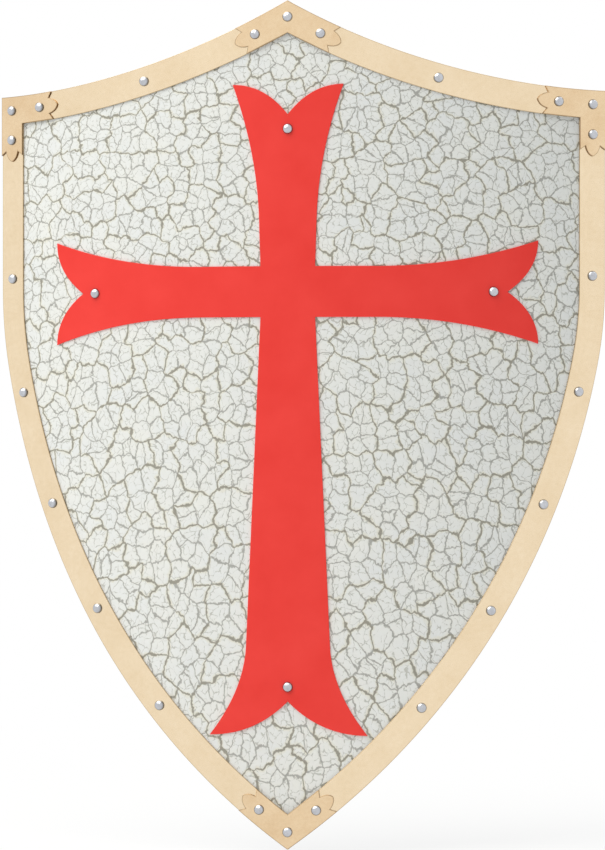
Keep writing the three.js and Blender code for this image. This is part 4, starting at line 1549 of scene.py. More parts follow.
    def _strips(self) -> None:
        """Make the four rim strips."""
        inner_end = BLANK.half - self.strip_width - self.mitre_gap
        outer = BLANK.top(0.0, BLANK.half - self.mitre_gap)
        inner = BLANK.top(self.strip_width, inner_end)
        top = np.vstack((outer, inner[::-1]))
        side = np.vstack((BLANK.side(0.0), BLANK.side(self.strip_width)[::-1]))
        for label, outline, run in (("top", top, along_top), ("side", side, along_rim)):
            outline[:, 0] = np.maximum(outline[:, 0], self.mitre_gap / 2)
            for hand, loop in (("right", outline), ("left", flipped(outline))):
                name, node = f"{hand}_{label}_rim", f"{hand}_{label}_strip"
                self._sheet(name, loop, self.gap, PALE_BRASS, node, run)

    def _plates(self) -> None:
        """Make the four corner plates."""
        inner = BLANK.half - self.strip_width
        peak = (
            [(0.0, BLANK.peak)],
            self._plate_arm(Rim.TOP, True, self.peak_arm),
            [(0.0, BLANK.top_height(0.0, self.strip_width))],
        )
        tip = (
            [(0.0, BLANK.tip)],
            self._plate_arm(Rim.SIDE, False, self.tip_arm),
            [(0.0, BLANK.tip_height(self.strip_width))],
        )
        corner = (
            [(BLANK.half, BLANK.corner)],
            self._plate_arm(Rim.TOP, False, self.corner_top_arm),
            [(inner, BLANK.top_height(inner, self.strip_width))],
            self._plate_arm(Rim.SIDE, True, self.corner_side_arm)[::-1],
        )
        plates = {
            "peak_plate": both_halves(np.vstack(peak)),
            "tip_plate": both_halves(np.vstack(tip)),
            "right_corner_plate": wound(np.vstack(corner)),
            "left_corner_plate": flipped(np.vstack(corner)),
        }
        for label, loop in plates.items():
            self._sheet("lobed_" + label, loop, self.plate_rear, WARM_BRASS, label)

    def _rivet(self) -> None:
        """Set a peened rivet in every hole."""
        foot = -self.panel_thickness - self.gap
        tail = [
            (self.tail_radius * math.sin(t), foot - self.tail_height * math.cos(t))
            for t in np.linspace(0.3, math.pi / 2, 6)
        ]
        shank = [(self.shank_radius, foot), (self.shank_radius, 0.0)]
        head = [
            (self.head_radius * math.cos(t), self.head_height * math.sin(t))
            for t in np.linspace(0, math.pi / 2, 13)[:-1]
        ]
        ends = [(0.0, foot - self.tail_height)], [(0.0, self.head_height)]
        points, faces = revolved(ends[0] + tail + shank + head + ends[1], 28)
        rng = np.random.default_rng(11)
        dome = points[:, 2] > 0.2
        for _ in range(self.blows):
            turn, reach = rng.uniform(0, 2 * math.pi), rng.uniform(*self.blow_reach)
            away = np.linalg.norm(points[dome, :2] - pointing(turn) * reach, axis=1)
            points[dome, 2] -= self.blow_depth * np.exp(-((away / self.blow_radius) ** 2))
        unit = mesh_object("rivet_unit", points, faces)
        sharpen(unit)
        store(unit, "head", points[:, 2] > -0.01)
        # Old polish, and painted shade that stands in for the dome's dark reflected rim, darken the
        # head towards its foot
        reach = np.linalg.norm(points[:, :2], axis=1)
        grime_and_shade = (reach - self.grime_and_shade_from) / (self.head_radius - self.grime_and_shade_from)
        store(unit, "edge", np.clip(grime_and_shade, 0, 1))
        flat = np.array([r[:2] for r in self.rivets])
        values = {
            "outward": BOW.outward(flat),
            "heading": BOW.across(flat, rng.normal(size=flat.shape)),
            "seat": np.array([r[2] for r in self.rivets]) * METRE,
        }
        piece = instanced(
            "domed_rivets", unit, BOW.place(flat, 0.0), values, BRIGHT_STEEL.material(), 5
        )
        settle(piece, BRIGHT_STEEL, ROOT, *[r[3] for r in self.rivets])


def settle(piece: Piece, finish: Finish, body: str, *nodes: str) -> None:
    """Dress a piece, let it stand for CAD nodes and let it ride on its body.

    Args:
        piece: Finished piece.
        finish: Its finish, whose material it gets.
        body: Body that carries it.
        *nodes: CAD nodes that it replaces.
    """
    finish.dress(piece)
    if nodes:
        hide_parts(*nodes)
    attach(piece, body)
    LOG.info("%s: %d faces on %s", piece.name, len(piece.data.polygons), body)


class Way(Enum):
    """Which way the columns of a swept solid run in a back frame."""

    SIDE_ON = (0, 1, 2)
    FACE_ON = (1, 0, 2)
    ROD = (1, 2, 0)


def shell_in(sweep: Sweep, held: BackFrame, way: Way, shift: float = 0.0) -> Shell:
    """Return a swept solid in a back frame, its first column moved by shift."""
    points, faces = sweep.build()
    return held.place((points + (shift, 0, 0))[:, way.value]), faces


def joined_pieces(name: str, shells: Sequence[Shell], crisp: float = 38.0) -> Piece:
    """Make one object of closed shells, smooth between crisp edges.

    Args:
        name: Name of the piece.
        shells: Points and faces of each solid.
        crisp: Angle in degrees past which an edge is crisp.
    """
    points, faces, first = [], [], 0
    for grid, corners in shells:
        points.append(grid)
        faces += [tuple(first + i for i in face) for face in facing_out(grid, corners)]
        first += len(grid)
    piece = mesh_object(name, np.vstack(points), faces)
    sharpen(piece, crisp)
    return piece


def cut(piece: Piece, shells: Sequence[Shell]) -> None:
    """Cut closed shells out of a piece."""
    cutter = joined_pieces("cutter", shells)
    modifier = piece.modifiers.new("cut", "BOOLEAN")
    modifier.operation, modifier.solver, modifier.object = "DIFFERENCE", "EXACT", cutter
    evaluated = piece.evaluated_get(bpy.context.evaluated_depsgraph_get())
    mesh = bpy.data.meshes.new_from_object(evaluated)
    piece.modifiers.clear()
    piece.data = mesh
    bpy.data.objects.remove(cutter)
    sharpen(piece)


def prism(
    centre: Rows, ahead: Sequence[float], width: float, length: float, depth: float
) -> Shell:
    """Return an oblong cutter through a strap: X across, then the strap's own plane.

    Args:
        centre: Middle of the hole in the strap's plane.
        ahead: Unit vector along the strap.
        width: Width of the hole.
        length: Length of the hole across the strap's width.
        depth: Depth of the cutter through the strap.
    """
    turns = np.linspace(0, math.pi, 9)
    cap = width / 2 * pointing(turns)
    reach = (0, (length - width) / 2)
    loop = np.vstack((cap + reach, -cap - reach))
    through = np.array((-ahead[1], ahead[0])) * depth / 2
    along = centre + loop[:, 1:] * np.array(ahead)
    return skinned(
        np.array([np.column_stack((loop[:, 0], along + side * through)) for side in (-1, 1)])
    )


def quarter(depth: float, height: float, radius: float, side: int) -> Rows:
    """Return a quarter turn from a run straight out behind to a run up or down.

    Args:
        depth: Distance behind the panel at which the turn ends.
        height: Distance above or below the arm line at which it starts.
        radius: Radius of the turn.
        side: 1 above the arm line, -1 below it.
    """
    turns = side * np.linspace(math.pi / 2, 0, 15)
    centre = np.array((depth - radius, side * (height - radius)))
    return centre + radius * pointing(turns)


@dataclass(frozen=True)
class FoldedEnd:
    """End of a strap that is folded round a staple.

    Attributes:
        label: Start of its pieces' names.
        held: Frame that it is in.
        bar: Distance of the staple's bar above or below the arm line.
        side: 1 above the arm line, -1 below it.
    """

    label: str
    held: BackFrame
    bar: float
    width: float
    side: int


# A frame, then a place, an outward direction and a heading in it
Spot = tuple[BackFrame, tuple[float, ...], tuple[float, ...], tuple[float, ...]]


@dataclass
class StrapWork:
    """Straps, staples, buckle and keeper on the panel's back.

    Paths are in millimetres away behind the panel and up from the arm line.

    Attributes:
        fold_gap: Gap round a bar and between two layers.
        fold_length: Distance from a bar at which two layers have closed up.
        tail_length: Distance from a bar to the end of the folded tail.
        standoff: Distance of a staple's bar behind the panel.
        rod: Diameter of a staple.
        arm_bar: Distance of the forearm strap's staples above and below the arm line.
        arm_depth: Reach of the forearm strap behind the panel.
        buckle_drop: Distance of the heel bar below the arm line.
        buckle_length: Distance between the buckle's bars.
        buckle_half: Half width of the buckle, to the middle of its wire.
        seam: Half angle of the roller's open seam.
        tongue_reach: Length of the tongue above the heel bar.
        hole_length: Length of a tongue hole across the strap.
        gap: Clearance of pieces that move or pass by each other.
        keeper_span: Heights of the keeper's two edges.
        rivet_setback: Distance of a strap rivet from a bar.
        slot: Width of the prong's slot, and its length across the strap.
        slot_drop: Distance of the slot's middle below the heel bar.
        prong_eye: Radius of the prong's eye, and the degrees that it is curled through.
        stitch_start: Distance of the first stitch from a bar.
        stitch_inset: Distance of a row of stitches from the strap's edge.
        skive: Length over which an end is pared.
        pared: Thickness of a pared end as a share of the strap's.
        burnish: Radius of a burnished edge as a share of the thickness.
        crease_inset: Distance of a crease line from the strap's edge.
        bead: Radius round a leg at which a weld bead starts, and what it spreads at its foot.
        bead_rise: Distance of the bead's foot out from the panel's front, and its height.
        bead_ripple: Height of the ripples in it.
        button: Radius, height and crown of a strap rivet's head.
        stitch_stretch: Length of a stitch in its thicknesses.
    """

    thickness: float = 3.2
    fold_gap: float = 0.35
    fold_length: float = 14.0
    tail_length: float = 27.0
    rivet_setback: float = 20.5
    arm_width: float = 30.0
    grip_width: float = 28.0
    standoff: float = 9.5
    rod: float = 6.0
    arm_bar: float = 85.0
    grip_bar: float = 60.0
    arm_depth: float = 98.0
    arm_corner: float = 34.0
    grip_depth: float = 60.0
    grip_corner: float = 20.0
    wire: float = 4.2
    buckle_drop: float = 8.0
    buckle_length: float = 24.0
    buckle_half: float = 19.1
    bore_radius: float = 2.45
    roller_radius: float = 3.35
    roller_length: float = 27.7
    seam: float = 0.09
    tongue_reach: float = 56.0
    tip_length: float = 14.0
    hole_length: float = 15.0
    hole_width: float = 4.6
    hole_pitch: float = 20.0
    gap: float = 0.3
    keeper_wall: float = 2.4
    keeper_span: tuple[float, float] = (7.0, 19.0)
    stitch_pitch: float = 3.6
    stitch_inset: float = 4.4
    skive: float = 7.0
    pared: float = 0.6
    burnish: float = 0.3
    crease_inset: float = 2.6
    crease_depth: float = 0.3
    crease_half: float = 0.6
    bead: tuple[float, float] = (3.0, 2.2)
    bead_rise: tuple[float, float] = (-1.48, 2.5)
    bead_ripple: float = 0.22
    button: tuple[float, float, float] = (4.5, 1.6, 0.55)
    shank_radius: float = 1.8
    stitch_radius: float = 0.42
    stitch_stretch: float = 3.1
    stitch_start: float = 14.6
    rivet_bore: float = 4.3
    slot: tuple[float, float] = (7.0, 15.5)
    slot_drop: float = 1.25
    staple_bend: float = 5.0
    prong_eye: tuple[float, float] = (3.3, 283.0)

    def __post_init__(self) -> None:
        """Work out the buckle's two bars, and how the tongue turns round them."""
        self.heel = np.array((self.arm_depth - self.wrap(self.wire), -self.buckle_drop))
        self.front = self.heel - (0, self.buckle_length)
        self.heel_turn = self.wrap(self.wire) + self.thickness + self.gap
        self.roller_turn = self.roller_radius + self.gap + self.thickness / 2
        self.lean = math.asin((self.roller_turn + self.heel_turn) / self.buckle_length)

    def wrap(self, rod: float) -> float:
        """Return the radius of the strap's middle where it turns round a bar."""
        return rod / 2 + self.fold_gap + self.thickness / 2

    def folded_ends(self) -> Iterable[FoldedEnd]:
        """Yield the four ends that are folded round staples."""
        for label, held, bar, width in (
            ("arm", ARM_FRAME, self.arm_bar, self.arm_width),
            ("grip", GRIP_FRAME, self.grip_bar, self.grip_width),
        ):
            for name, side in (("upper", 1), ("lower", -1)):
                yield FoldedEnd(f"{label}_{name}", held, bar, width, side)

    def fold(self, bar: Rows, rod: float, run: tuple, tail: tuple) -> Rows:
        """Return the path of a strap end folded round a bar, from its tail to its run.

        Args:
            bar: Middle of the bar.
            rod: Diameter of the bar.
            run: Direction in which the strap runs off.
            tail: Side of the run that the tail lies on.
        """
        wrap = self.wrap(rod)
        aside = self.thickness + self.fold_gap - wrap
        reach = self.fold_length
        closing = bezier((reach, aside), (reach / 2, aside), (reach / 2, wrap), (0, wrap), steps=14)
        turns = np.linspace(0, math.pi, 17)[1:]
        around = np.column_stack((-wrap * np.sin(turns), wrap * np.cos(turns)))
        flat = np.linspace(self.tail_length, reach, 12)[:-1]
        tail_run = np.column_stack((flat, np.full(len(flat), aside)))
        local = np.vstack((tail_run, closing, around))
        return bar + local[:, :1] * np.array(run) + local[:, 1:] * np.array(tail)

    def staple_fold(self, bar: float, side: int) -> Rows:
        """Return the path of an end folded round a staple's bar."""
        return self.fold(np.array((self.standoff, side * bar)), self.rod, (1, 0), (0, side))

    def section(self, width: float, thickness: float, creased: bool = True) -> Rows:
        """Return a strap's cross-section, with burnished edges and a crease along each.

        Args:
            width: Width of the strap.
            thickness: Thickness of the strap.
            creased: Whether it has the crease lines.
        """
        half, deep, radius = width / 2, thickness / 2, thickness * self.burnish
        line = half - self.crease_inset
        right = [(half - radius, deep)]
        if creased:
            right += [
                (line + self.crease_half, deep),
                (line, deep - self.crease_depth),
                (line - self.crease_half, deep),
            ]
        middle = [(x, deep) for x in np.linspace(line - 2, 2 - line, 5)]
        upper = np.array(right + middle + [(-x, y) for x, y in right[::-1]])
        turns = np.linspace(math.pi / 2, math.pi * 1.5, 9)[1:-1]
        rise = np.sign(np.round(np.sin(turns), 6)) * (deep - radius) + radius * np.sin(turns)
        left = np.column_stack((radius - half + radius * np.cos(turns), rise))
        return np.vstack((upper, left, -upper, -left))

    def strap(
        self,
        name: str,
        node: str,
        path: tuple[Rows, ...],
        width: float,
        held: BackFrame,
        cutters: Sequence[Shell],
        pointed: bool = False,
    ) -> None:
        """Make a strap along a path, punch its holes and dress it.

        Args:
            name: Name of the piece.
            node: CAD node that it stands for.
            path: Stretches of its middle line, in order.
            width: Width of the strap.
            held: Frame that the path is in.
            cutters: Shells of its holes, in the same frame.
            pointed: Whether the last end is cut to a rounded point, and not pared thin.
        """
        line = spaced(np.vstack(path), 1.5)
        runs = run_lengths(line)
        left = runs[-1] - runs
        scale = np.ones((len(line), 2))
        thin = np.clip(runs / self.skive, 0, 1)
        if pointed:
            near = np.clip(left / self.tip_length, 0.002, 1) ** 0.5
            scale[:, 0] = np.minimum(1.0, (30 * near - 13 * near**2) / (width / 2))
        else:
            thin = np.minimum(thin, np.clip(left / self.skive, 0, 1))
        scale[:, 1] = self.pared + (1 - self.pared) * thin
        sweep = Sweep(line, self.section(width, self.thickness), scale=scale)
        piece = joined_pieces(name, [shell_in(sweep, held, Way.SIDE_ON)])
        cut(piece, [(held.place(points), faces) for points, faces in cutters])
        settle(piece, LEATHER, ROOT, node)

    def rivet_hole(self, bar: float, side: int) -> Shell:
        """Return the cutter of the rivet's hole through a folded end."""
        height = side * (bar - self.wrap(self.rod) / 2)
        centre = np.array((self.standoff + self.rivet_setback, height))
        return prism(centre, (1.0, 0.0), self.rivet_bore, self.rivet_bore + 0.001, 14.0)

    def build(self) -> None:
        """Make and dress every piece behind the panel."""
        self._grip()
        self._buckle_strap()
        self._tongue_strap()
        self._keeper()
        self._staples()
        self._rivets()
        self._stitches()
        self._buckle()
        self._roller()
        self._prong()

    def _grip(self) -> None:
        """Make the hand strap, folded round both of its staples."""
        run = self.grip_bar - self.wrap(self.rod)
        path = (
            self.staple_fold(self.grip_bar, 1),
            quarter(self.grip_depth, run, self.grip_corner, 1),
            quarter(self.grip_depth, run, self.grip_corner, -1)[::-1],
            self.staple_fold(self.grip_bar, -1)[::-1],
        )
        holes = [self.rivet_hole(self.grip_bar, side) for side in (1, -1)]
        self.strap("hand_strap", "grip_strap", path, self.grip_width, GRIP_FRAME, holes)

    def _buckle_strap(self) -> None:
        """Make the forearm strap's upper leather, which carries the buckle."""
        path = (
            self.staple_fold(self.arm_bar, 1),
            quarter(self.arm_depth, self.arm_bar - self.wrap(self.rod), self.arm_corner, 1),
            self.fold(self.heel, self.wire, (0, 1), (-1, 0))[::-1],
        )
        middle = self.heel - (0, self.slot_drop)
        holes = [self.rivet_hole(self.arm_bar, 1), prism(middle, (0.0, 1.0), *self.slot, 20.0)]
        self.strap("buckle_leather", "arm_buckle_strap", path, self.arm_width, ARM_FRAME, holes)

    def _tongue_strap(self) -> None:
        """Make the lower leather: inside the roller, over the heel bar, with holes and a point."""
        run = self.arm_bar - self.wrap(self.rod)
        over = np.linspace(math.pi, math.pi - self.lean, 10)
        past = np.linspace(-self.lean, 0, 12)
        path = (
            self.staple_fold(self.arm_bar, -1),
            quarter(self.front[0] - self.roller_turn, run, self.arm_corner, -1),
            self.front + self.roller_turn * pointing(over),
            self.heel + self.heel_turn * pointing(past),
            [self.heel + (self.heel_turn, self.tongue_reach)],
        )
        back = np.vstack(path)[::-1]
        runs = run_lengths(back)
        first = self.tongue_reach + self.heel_turn * self.lean + 4.0
        holes = [self.rivet_hole(self.arm_bar, -1)]
        for index in (-2, -1, 0, 1):
            at = first + index * self.hole_pitch
            centre, ahead = (
                np.array([np.interp(at + d, runs, back[:, k]) for k in (0, 1)]) for d in (0, 0.5)
            )
            ahead = (ahead - centre) / np.linalg.norm(ahead - centre)
            holes.append(prism(centre, ahead, self.hole_width, self.hole_length, 8.0))
        name, node = "tongue_leather", "arm_tongue_strap"
        self.strap(name, node, path, self.arm_width, ARM_FRAME, holes, pointed=True)

    def keeper_loop(self) -> Rows:
        """Return the middle line of the keeper's wall: across the strap, then behind the panel."""
        wall = self.keeper_wall / 2
        near = self.arm_depth - self.fold_gap - self.thickness * 1.5 - self.gap - wall
        far = self.heel[0] + self.heel_turn + self.thickness / 2 + self.gap + wall
        return rounded(self.arm_width / 2 + self.gap + wall, near, far, 2.2, 6)

    def _keeper(self) -> None:
        """Make the loop that holds the tongue down."""
        low, high = self.keeper_span
        section = self.section(high - low, self.keeper_wall, creased=False)
        sweep = Sweep(spaced(self.keeper_loop(), 1.2, closed=True), section, closed=True)
        shell = shell_in(sweep, ARM_FRAME, Way.ROD, (low + high) / 2)
        settle(joined_pieces("leather_keeper", [shell]), LEATHER, ROOT, "strap_keeper")

    def weld(self, along: float, height: float) -> Shell:
        """Return a rippled weld bead round a leg that meets the panel's back."""
        turns = np.linspace(0, 2 * math.pi, 72, endpoint=False)
        (radius, spread), (foot, rise) = self.bead, self.bead_rise
        rings = []
        for step in np.linspace(0, 1, 7):
            swell = self.bead_ripple * math.sin(math.pi * (0.15 + 0.7 * step))
            ripple = swell * np.abs(np.sin(9 * turns + 2.2 * step))
            reach = (radius + spread * (1 - step) ** 0.75 + ripple)[:, None]
            flat = (along, height) + reach * pointing(turns)
            rings.append(BOW.place(flat, foot - rise * step**1.15))
        return skinned(np.array(rings))

    def _staples(self) -> None:
        """Bend and weld on the four staples."""
        for end in self.folded_ends():
            leg, bend, top = (end.width + self.rod) / 2 + 2.0, self.staple_bend, self.standoff
            half = np.vstack(
                (
                    np.column_stack((np.full(5, leg), np.linspace(1.4, top - bend, 5))),
                    bezier((leg, top - bend), (leg, top), (leg - bend, top), steps=12)[1:],
                )
            )
            path = np.vstack((half, (half * (-1, 1))[::-1]))
            rod = Sweep(spaced(path, 1.0), circle(self.rod / 2, 20))
            height = end.side * end.bar
            shells = [shell_in(rod, end.held, Way.ROD, height)]
            shells += [
                self.weld(end.held.along + hand * leg, end.held.height + height)
                for hand in (-1, 1)
            ]
            piece = joined_pieces(end.label + "_welded_staple", shells)
            settle(piece, FITTING_STEEL, ROOT, end.label + "_staple")

    @staticmethod
    def _set(
        name: str,
        unit: Piece,
        finish: Finish,
        spots: Sequence[Spot],
        seed: int,
        spread: float = 0.0,
    ) -> Piece:
        """Set a unit at each spot, and keep the result as one piece.

        Args:
            name: Name of the piece.
            unit: Object that is repeated.
            finish: Finish of the piece.
            spots: Frame, place, outward direction and heading of each unit.
            seed: Seed of the units' sizes.
            spread: Share by which their sizes vary.
        """
        rows = [
            (held.place(np.array([place]))[0], *held.aim(np.array([outward, heading], float)))
            for held, place, outward, heading in spots
        ]
        places, outward, heading = np.array(rows).transpose(1, 0, 2)
        values = {"outward": outward, "heading": heading}
        return instanced(name, unit, places, values, finish.material(), seed, spread)

    def _rivets(self) -> None:
        """Set a flat rivet through each folded end that wraps a staple."""
        low = -self.thickness / 2 - self.gap
        high = self.thickness * 1.5 + self.fold_gap + self.gap
        radius, height, crown = self.button
        button = [
            (radius * math.sin(t), height - crown * (1 - math.cos(t)))
            for t in np.linspace(0, 1.35, 6)
        ][1:]
        head = [(0.0, height)] + button + [(radius, 0.7), (radius, 0.25), (radius - 0.2, 0.0)]
        profile = [(r, low - z) for r, z in head]
        profile += [(self.shank_radius, low), (self.shank_radius, high)]
        profile += [(r, high + z) for r, z in head[::-1]]
        unit = joined_pieces("strap_rivet_unit", [revolved(profile, 28)])
        out, drop = self.standoff + self.rivet_setback, self.wrap(self.rod)
        spots = [
            (end.held, (0.0, out, end.side * (end.bar - drop)), (0, 0, end.side), (1, 0, 0))
            for end in self.folded_ends()
        ]
        piece = self._set("strap_rivets", unit, BRIGHT_STEEL, spots, 3)
        nodes = [end.label + "_strap_rivet" for end in self.folded_ends()]
        settle(piece, BRIGHT_STEEL, ROOT, *nodes)

    def _stitches(self) -> None:
        """Sew both layers of each folded end together, beside its rivet, and the keeper's joint."""
        size = self.stitch_radius
        profile = [(size * math.sin(t), -size * math.cos(t)) for t in np.linspace(0, math.pi, 9)]
        points, faces = revolved(profile, 8)
        points[:, 0] *= self.stitch_stretch
        unit = mesh_object("stitch_unit", points, faces)
        inner = -self.wrap(self.rod) - self.thickness / 2
        outer = self.thickness * 1.5 + self.fold_gap - self.wrap(self.rod)
        outs = np.arange(self.stitch_start, self.tail_length - 1.4, self.stitch_pitch)
        spots: list[Spot] = []
        for end in self.folded_ends():
            half = end.width / 2 - self.stitch_inset
            for out, across, (level, face) in product(
                outs, (-half, half), ((inner, -end.side), (outer, end.side))
            ):
                place = (across, self.standoff + out, end.side * (end.bar + level))
                spots.append((end.held, place, (0, 0, face), (0, 1, 0)))
        near = float(self.keeper_loop()[:, 1].min()) - self.keeper_wall / 2
        spots += [
            (ARM_FRAME, (across, near, height), (0, -1, 0), (0, 0, 1))
            for height in np.arange(self.keeper_span[0] + 2.6, self.keeper_span[1] - 1.0, 3.4)
            for across in (-3.2, 3.2)
        ]
        piece = self._set("saddle_stitches", unit, THREAD, spots, 7, 0.07)
        piece.data.polygons.foreach_set("use_smooth", [True] * len(piece.data.polygons))
        settle(piece, THREAD, ROOT)

    def _buckle(self) -> None:
        """Make the buckle's frame of one bent wire."""
        loop = rounded(self.buckle_half, self.front[1], self.heel[1], 4.0, 10)
        wire = Sweep(spaced(loop, 1.0, True), circle(self.wire / 2, 20), True)
        shell = shell_in(wire, ARM_FRAME, Way.FACE_ON, self.heel[0])
        settle(joined_pieces("buckle_bow", [shell]), BRIGHT_STEEL, ROOT, "buckle_frame")

    def _roller(self) -> None:
        """Roll the buckle's roller of sheet, with its seam open by a hair."""
        wall = self.roller_radius - self.bore_radius
        turns = np.linspace(self.seam, 2 * math.pi - self.seam, 56) + 2.4
        middle = (self.roller_radius + self.bore_radius) / 2
        path = self.front + middle * pointing(turns)
        section = rounded(self.roller_length / 2, -wall / 2, wall / 2, wall * 0.3, 3)
        shell = shell_in(Sweep(path, section), ARM_FRAME, Way.SIDE_ON)
        piece = joined_pieces("seamed_roller", [shell])
        settle(piece, BRIGHT_STEEL, "roller", "buckle_roller")

    def _prong(self) -> None:
        """Forge the prong: an eye curled round the heel bar, and a shank that tapers to a tip."""
        radius, curl = self.prong_eye
        eye = self.heel + radius * pointing(np.radians(np.linspace(curl, 0, 40)))
        start = self.heel + (3.75, -3.4)
        end = self.front + (self.roller_radius + self.gap + 1.3, 0.0)
        ahead = (end - start) / np.linalg.norm(end - start)
        shank = bezier(start, (start + end) / 2 + (0.25, 0), end, end + ahead * 4.5, steps=22)
        path = np.vstack((eye, shank))
        runs = run_lengths(path)
        past = np.clip((runs - runs[len(eye) - 1] - 1.0) / 6.0, 0, 1)
        taper = np.clip((runs[-1] - runs) / 5.0, 0.12, 1) ** 0.5
        scale = np.column_stack((2.0 - 0.7 * past, 0.82 + 0.48 * past)) * taper[:, None]
        shell = shell_in(Sweep(path, circle(1.0, 18), scale=scale), ARM_FRAME, Way.SIDE_ON)
        piece = joined_pieces("forged_prong", [shell], crisp=60.0)
        settle(piece, BRIGHT_STEEL, "prong", "buckle_prong")


@dataclass
class Hanger:
    """Clip welded on the panel's back, and the D-shaped ring that swings in it.

    Attributes:
        foot_end: Height of the ends of the clip's feet.
        bridge_level: Distance of the bridge's middle behind the panel.
        bridge_half: Half height of the bridge, to its walls' middles.
        ring_half: Half width of the ring, to the middle of its wire.
        ring_drop: Height of the ring, to the middle of its wire.
        ring_level: Distance of the ring behind the panel.
        bead_ripple: Height of a weld bead's ripples as a share of its radius.
    """

    width: float = 18.0
    thickness: float = 2.0
    foot_end: float = 18.8
    foot_level: float = 1.3
    bridge_level: float = 8.0
    bridge_half: float = 3.8
    bend: float = 1.25
    wire: float = 5.0
    ring_half: float = 17.5
    ring_drop: float = 29.0
    ring_corner: float = 6.0
    ring_level: float = 4.2
    bead_radius: float = 1.75
    bead_half: float = 5.6
    bead_ripple: float = 0.16

    def build(self) -> None:
        """Make and dress the clip and the ring."""
        shells = [self._clip(), self._bead(-1), self._bead(1)]
        clip = joined_pieces("welded_hanger_clip", shells)
        settle(clip, FITTING_STEEL, ROOT, "hanger_clip")
        ring = joined_pieces("hanging_d_ring", [self._ring()])
        settle(ring, FITTING_STEEL, "ring", "hanging_ring")

    def _clip(self) -> Shell:
        """Return the bent strip: a foot, the bridge and a foot, with its ends rounded off."""
        turn = np.linspace(0, math.pi / 2, 7)
        bend = self.bend * np.column_stack((np.sin(turn), 1 - np.cos(turn)))
        lower = np.vstack(
            (
                [(self.foot_level, -self.foot_end)],
                bend + (self.foot_level, -self.bridge_half - self.bend),
                bend + (self.bridge_level - self.bend, -self.bridge_half),
            )
        )
        path = spaced(np.vstack((lower, (lower * (1, -1))[::-1])), 0.7)
        runs = run_lengths(path)
        near = np.clip(np.minimum(runs, runs[-1] - runs) / 3.0, 0, 1)
        scale = np.column_stack((0.7 + 0.3 * np.sqrt(1 - (1 - near) ** 2), np.ones(len(path))))
        section = rounded(self.width / 2, -self.thickness / 2, self.thickness / 2, 0.4, 3)
        return shell_in(Sweep(path, section, scale=scale), HANGER_FRAME, Way.SIDE_ON)

    def _bead(self, side: int) -> Shell:
        """Return the rippled weld bead along the end of one foot."""
        across = np.linspace(-self.bead_half, self.bead_half, 57)
        line = np.column_stack((across, np.full(len(across), side * (self.foot_end + 0.4))))
        ripple = 1 + self.bead_ripple * np.abs(np.sin(across * 1.7))
        size = ripple * np.sqrt(np.clip((self.bead_half + 0.4 - np.abs(across)) / 1.5, 0.05, 1))
        bead = Sweep(line, circle(self.bead_radius, 14), scale=np.column_stack((size, size)))
        grid, faces = bead.build()
        local = np.column_stack((grid[:, 1], np.maximum(grid[:, 0] + 0.3, -0.6), grid[:, 2]))
        return HANGER_FRAME.place(local), faces

    def _ring(self) -> Shell:
        """Return the ring: a flat top between rounded corners, and a half round below."""
        half, corner = self.ring_half, self.ring_corner
        turns = np.linspace(math.pi / 2, 0, 9)
        right = corner * np.column_stack((np.sin(turns), np.cos(turns))) + (half - corner, -corner)
        below = np.linspace(math.pi, 2 * math.pi, 34)
        bottom = half * pointing(below) + (0, half - self.ring_drop)
        loop = spaced(np.vstack((right, (right * (-1, 1))[::-1], bottom)), 1.2, True)
        wire = Sweep(loop, circle(self.wire / 2, 22), True)
        return shell_in(wire, HANGER_FRAME, Way.FACE_ON, self.ring_level)


@dataclass(frozen=True)
class StudioFloor(Finish):
    """Plain white floor: white to the camera and in reflections, and it keeps the soft shadow.

    Attributes:
        whitens: Distances in metres from its middle over which it turns white.
        least_white: Share of pure white at its middle.
    """

    name: str = "matt_white_floor"
    slot: str = ""
    whitens: tuple[float, float] = (0.3, 1.6)
    least_white: float = 0.72

    def shade(self, graph: Graph) -> Socket:
        """Add the finish's nodes and return its shader."""
        lit = graph.add("BsdfDiffuse", {"Color": "#f4f4f2"})
        white = graph.add("Emission", {"Color": (1, 1, 1, 1), "Strength": 1.0})
        place = graph.add("TexCoord", out="Object")
        away = graph.add("VectorMath", {0: place}, out="Value", operation="LENGTH")
        start, end = self.whitens
        whiteness = graph.add(
            "MapRange",
            {"Value": away, "From Min": start, "From Max": end, "To Min": self.least_white},
            interpolation_type="SMOOTHSTEP",
        )
        share = graph.add("Math", {0: seen_directly(graph), 1: whiteness}, operation="MULTIPLY")
        return graph.add("MixShader", {0: share, 1: lit, 2: white})


def seen_directly(graph: Graph) -> Socket:
    """Return 1 for camera, glossy and transmission rays, and 0 for the rays that light things."""
    seen = graph.add("LightPath", out="Is Camera Ray")
    rays = seen.node.outputs
    for kind in ("Is Glossy Ray", "Is Transmission Ray"):
        seen = graph.add("Math", {0: seen, 1: rays[kind]}, operation="MAXIMUM")
    return seen


@dataclass(frozen=True)
class Lamp:
    """Square soft lamp that faces the shield.

    Attributes:
        azimuth: Degrees round from the front, positive to the viewer's right.
        elevation: Degrees above the shield's middle.
        distance: Metres from the shield's middle.
        side: Side of the square in metres.
        level: Share of a white surface's brightness that it gives a surface that faces it.
    """

    name: str
    azimuth: float
    elevation: float
    distance: float
    side: float
    level: float
    tint: str = "#ffffff"


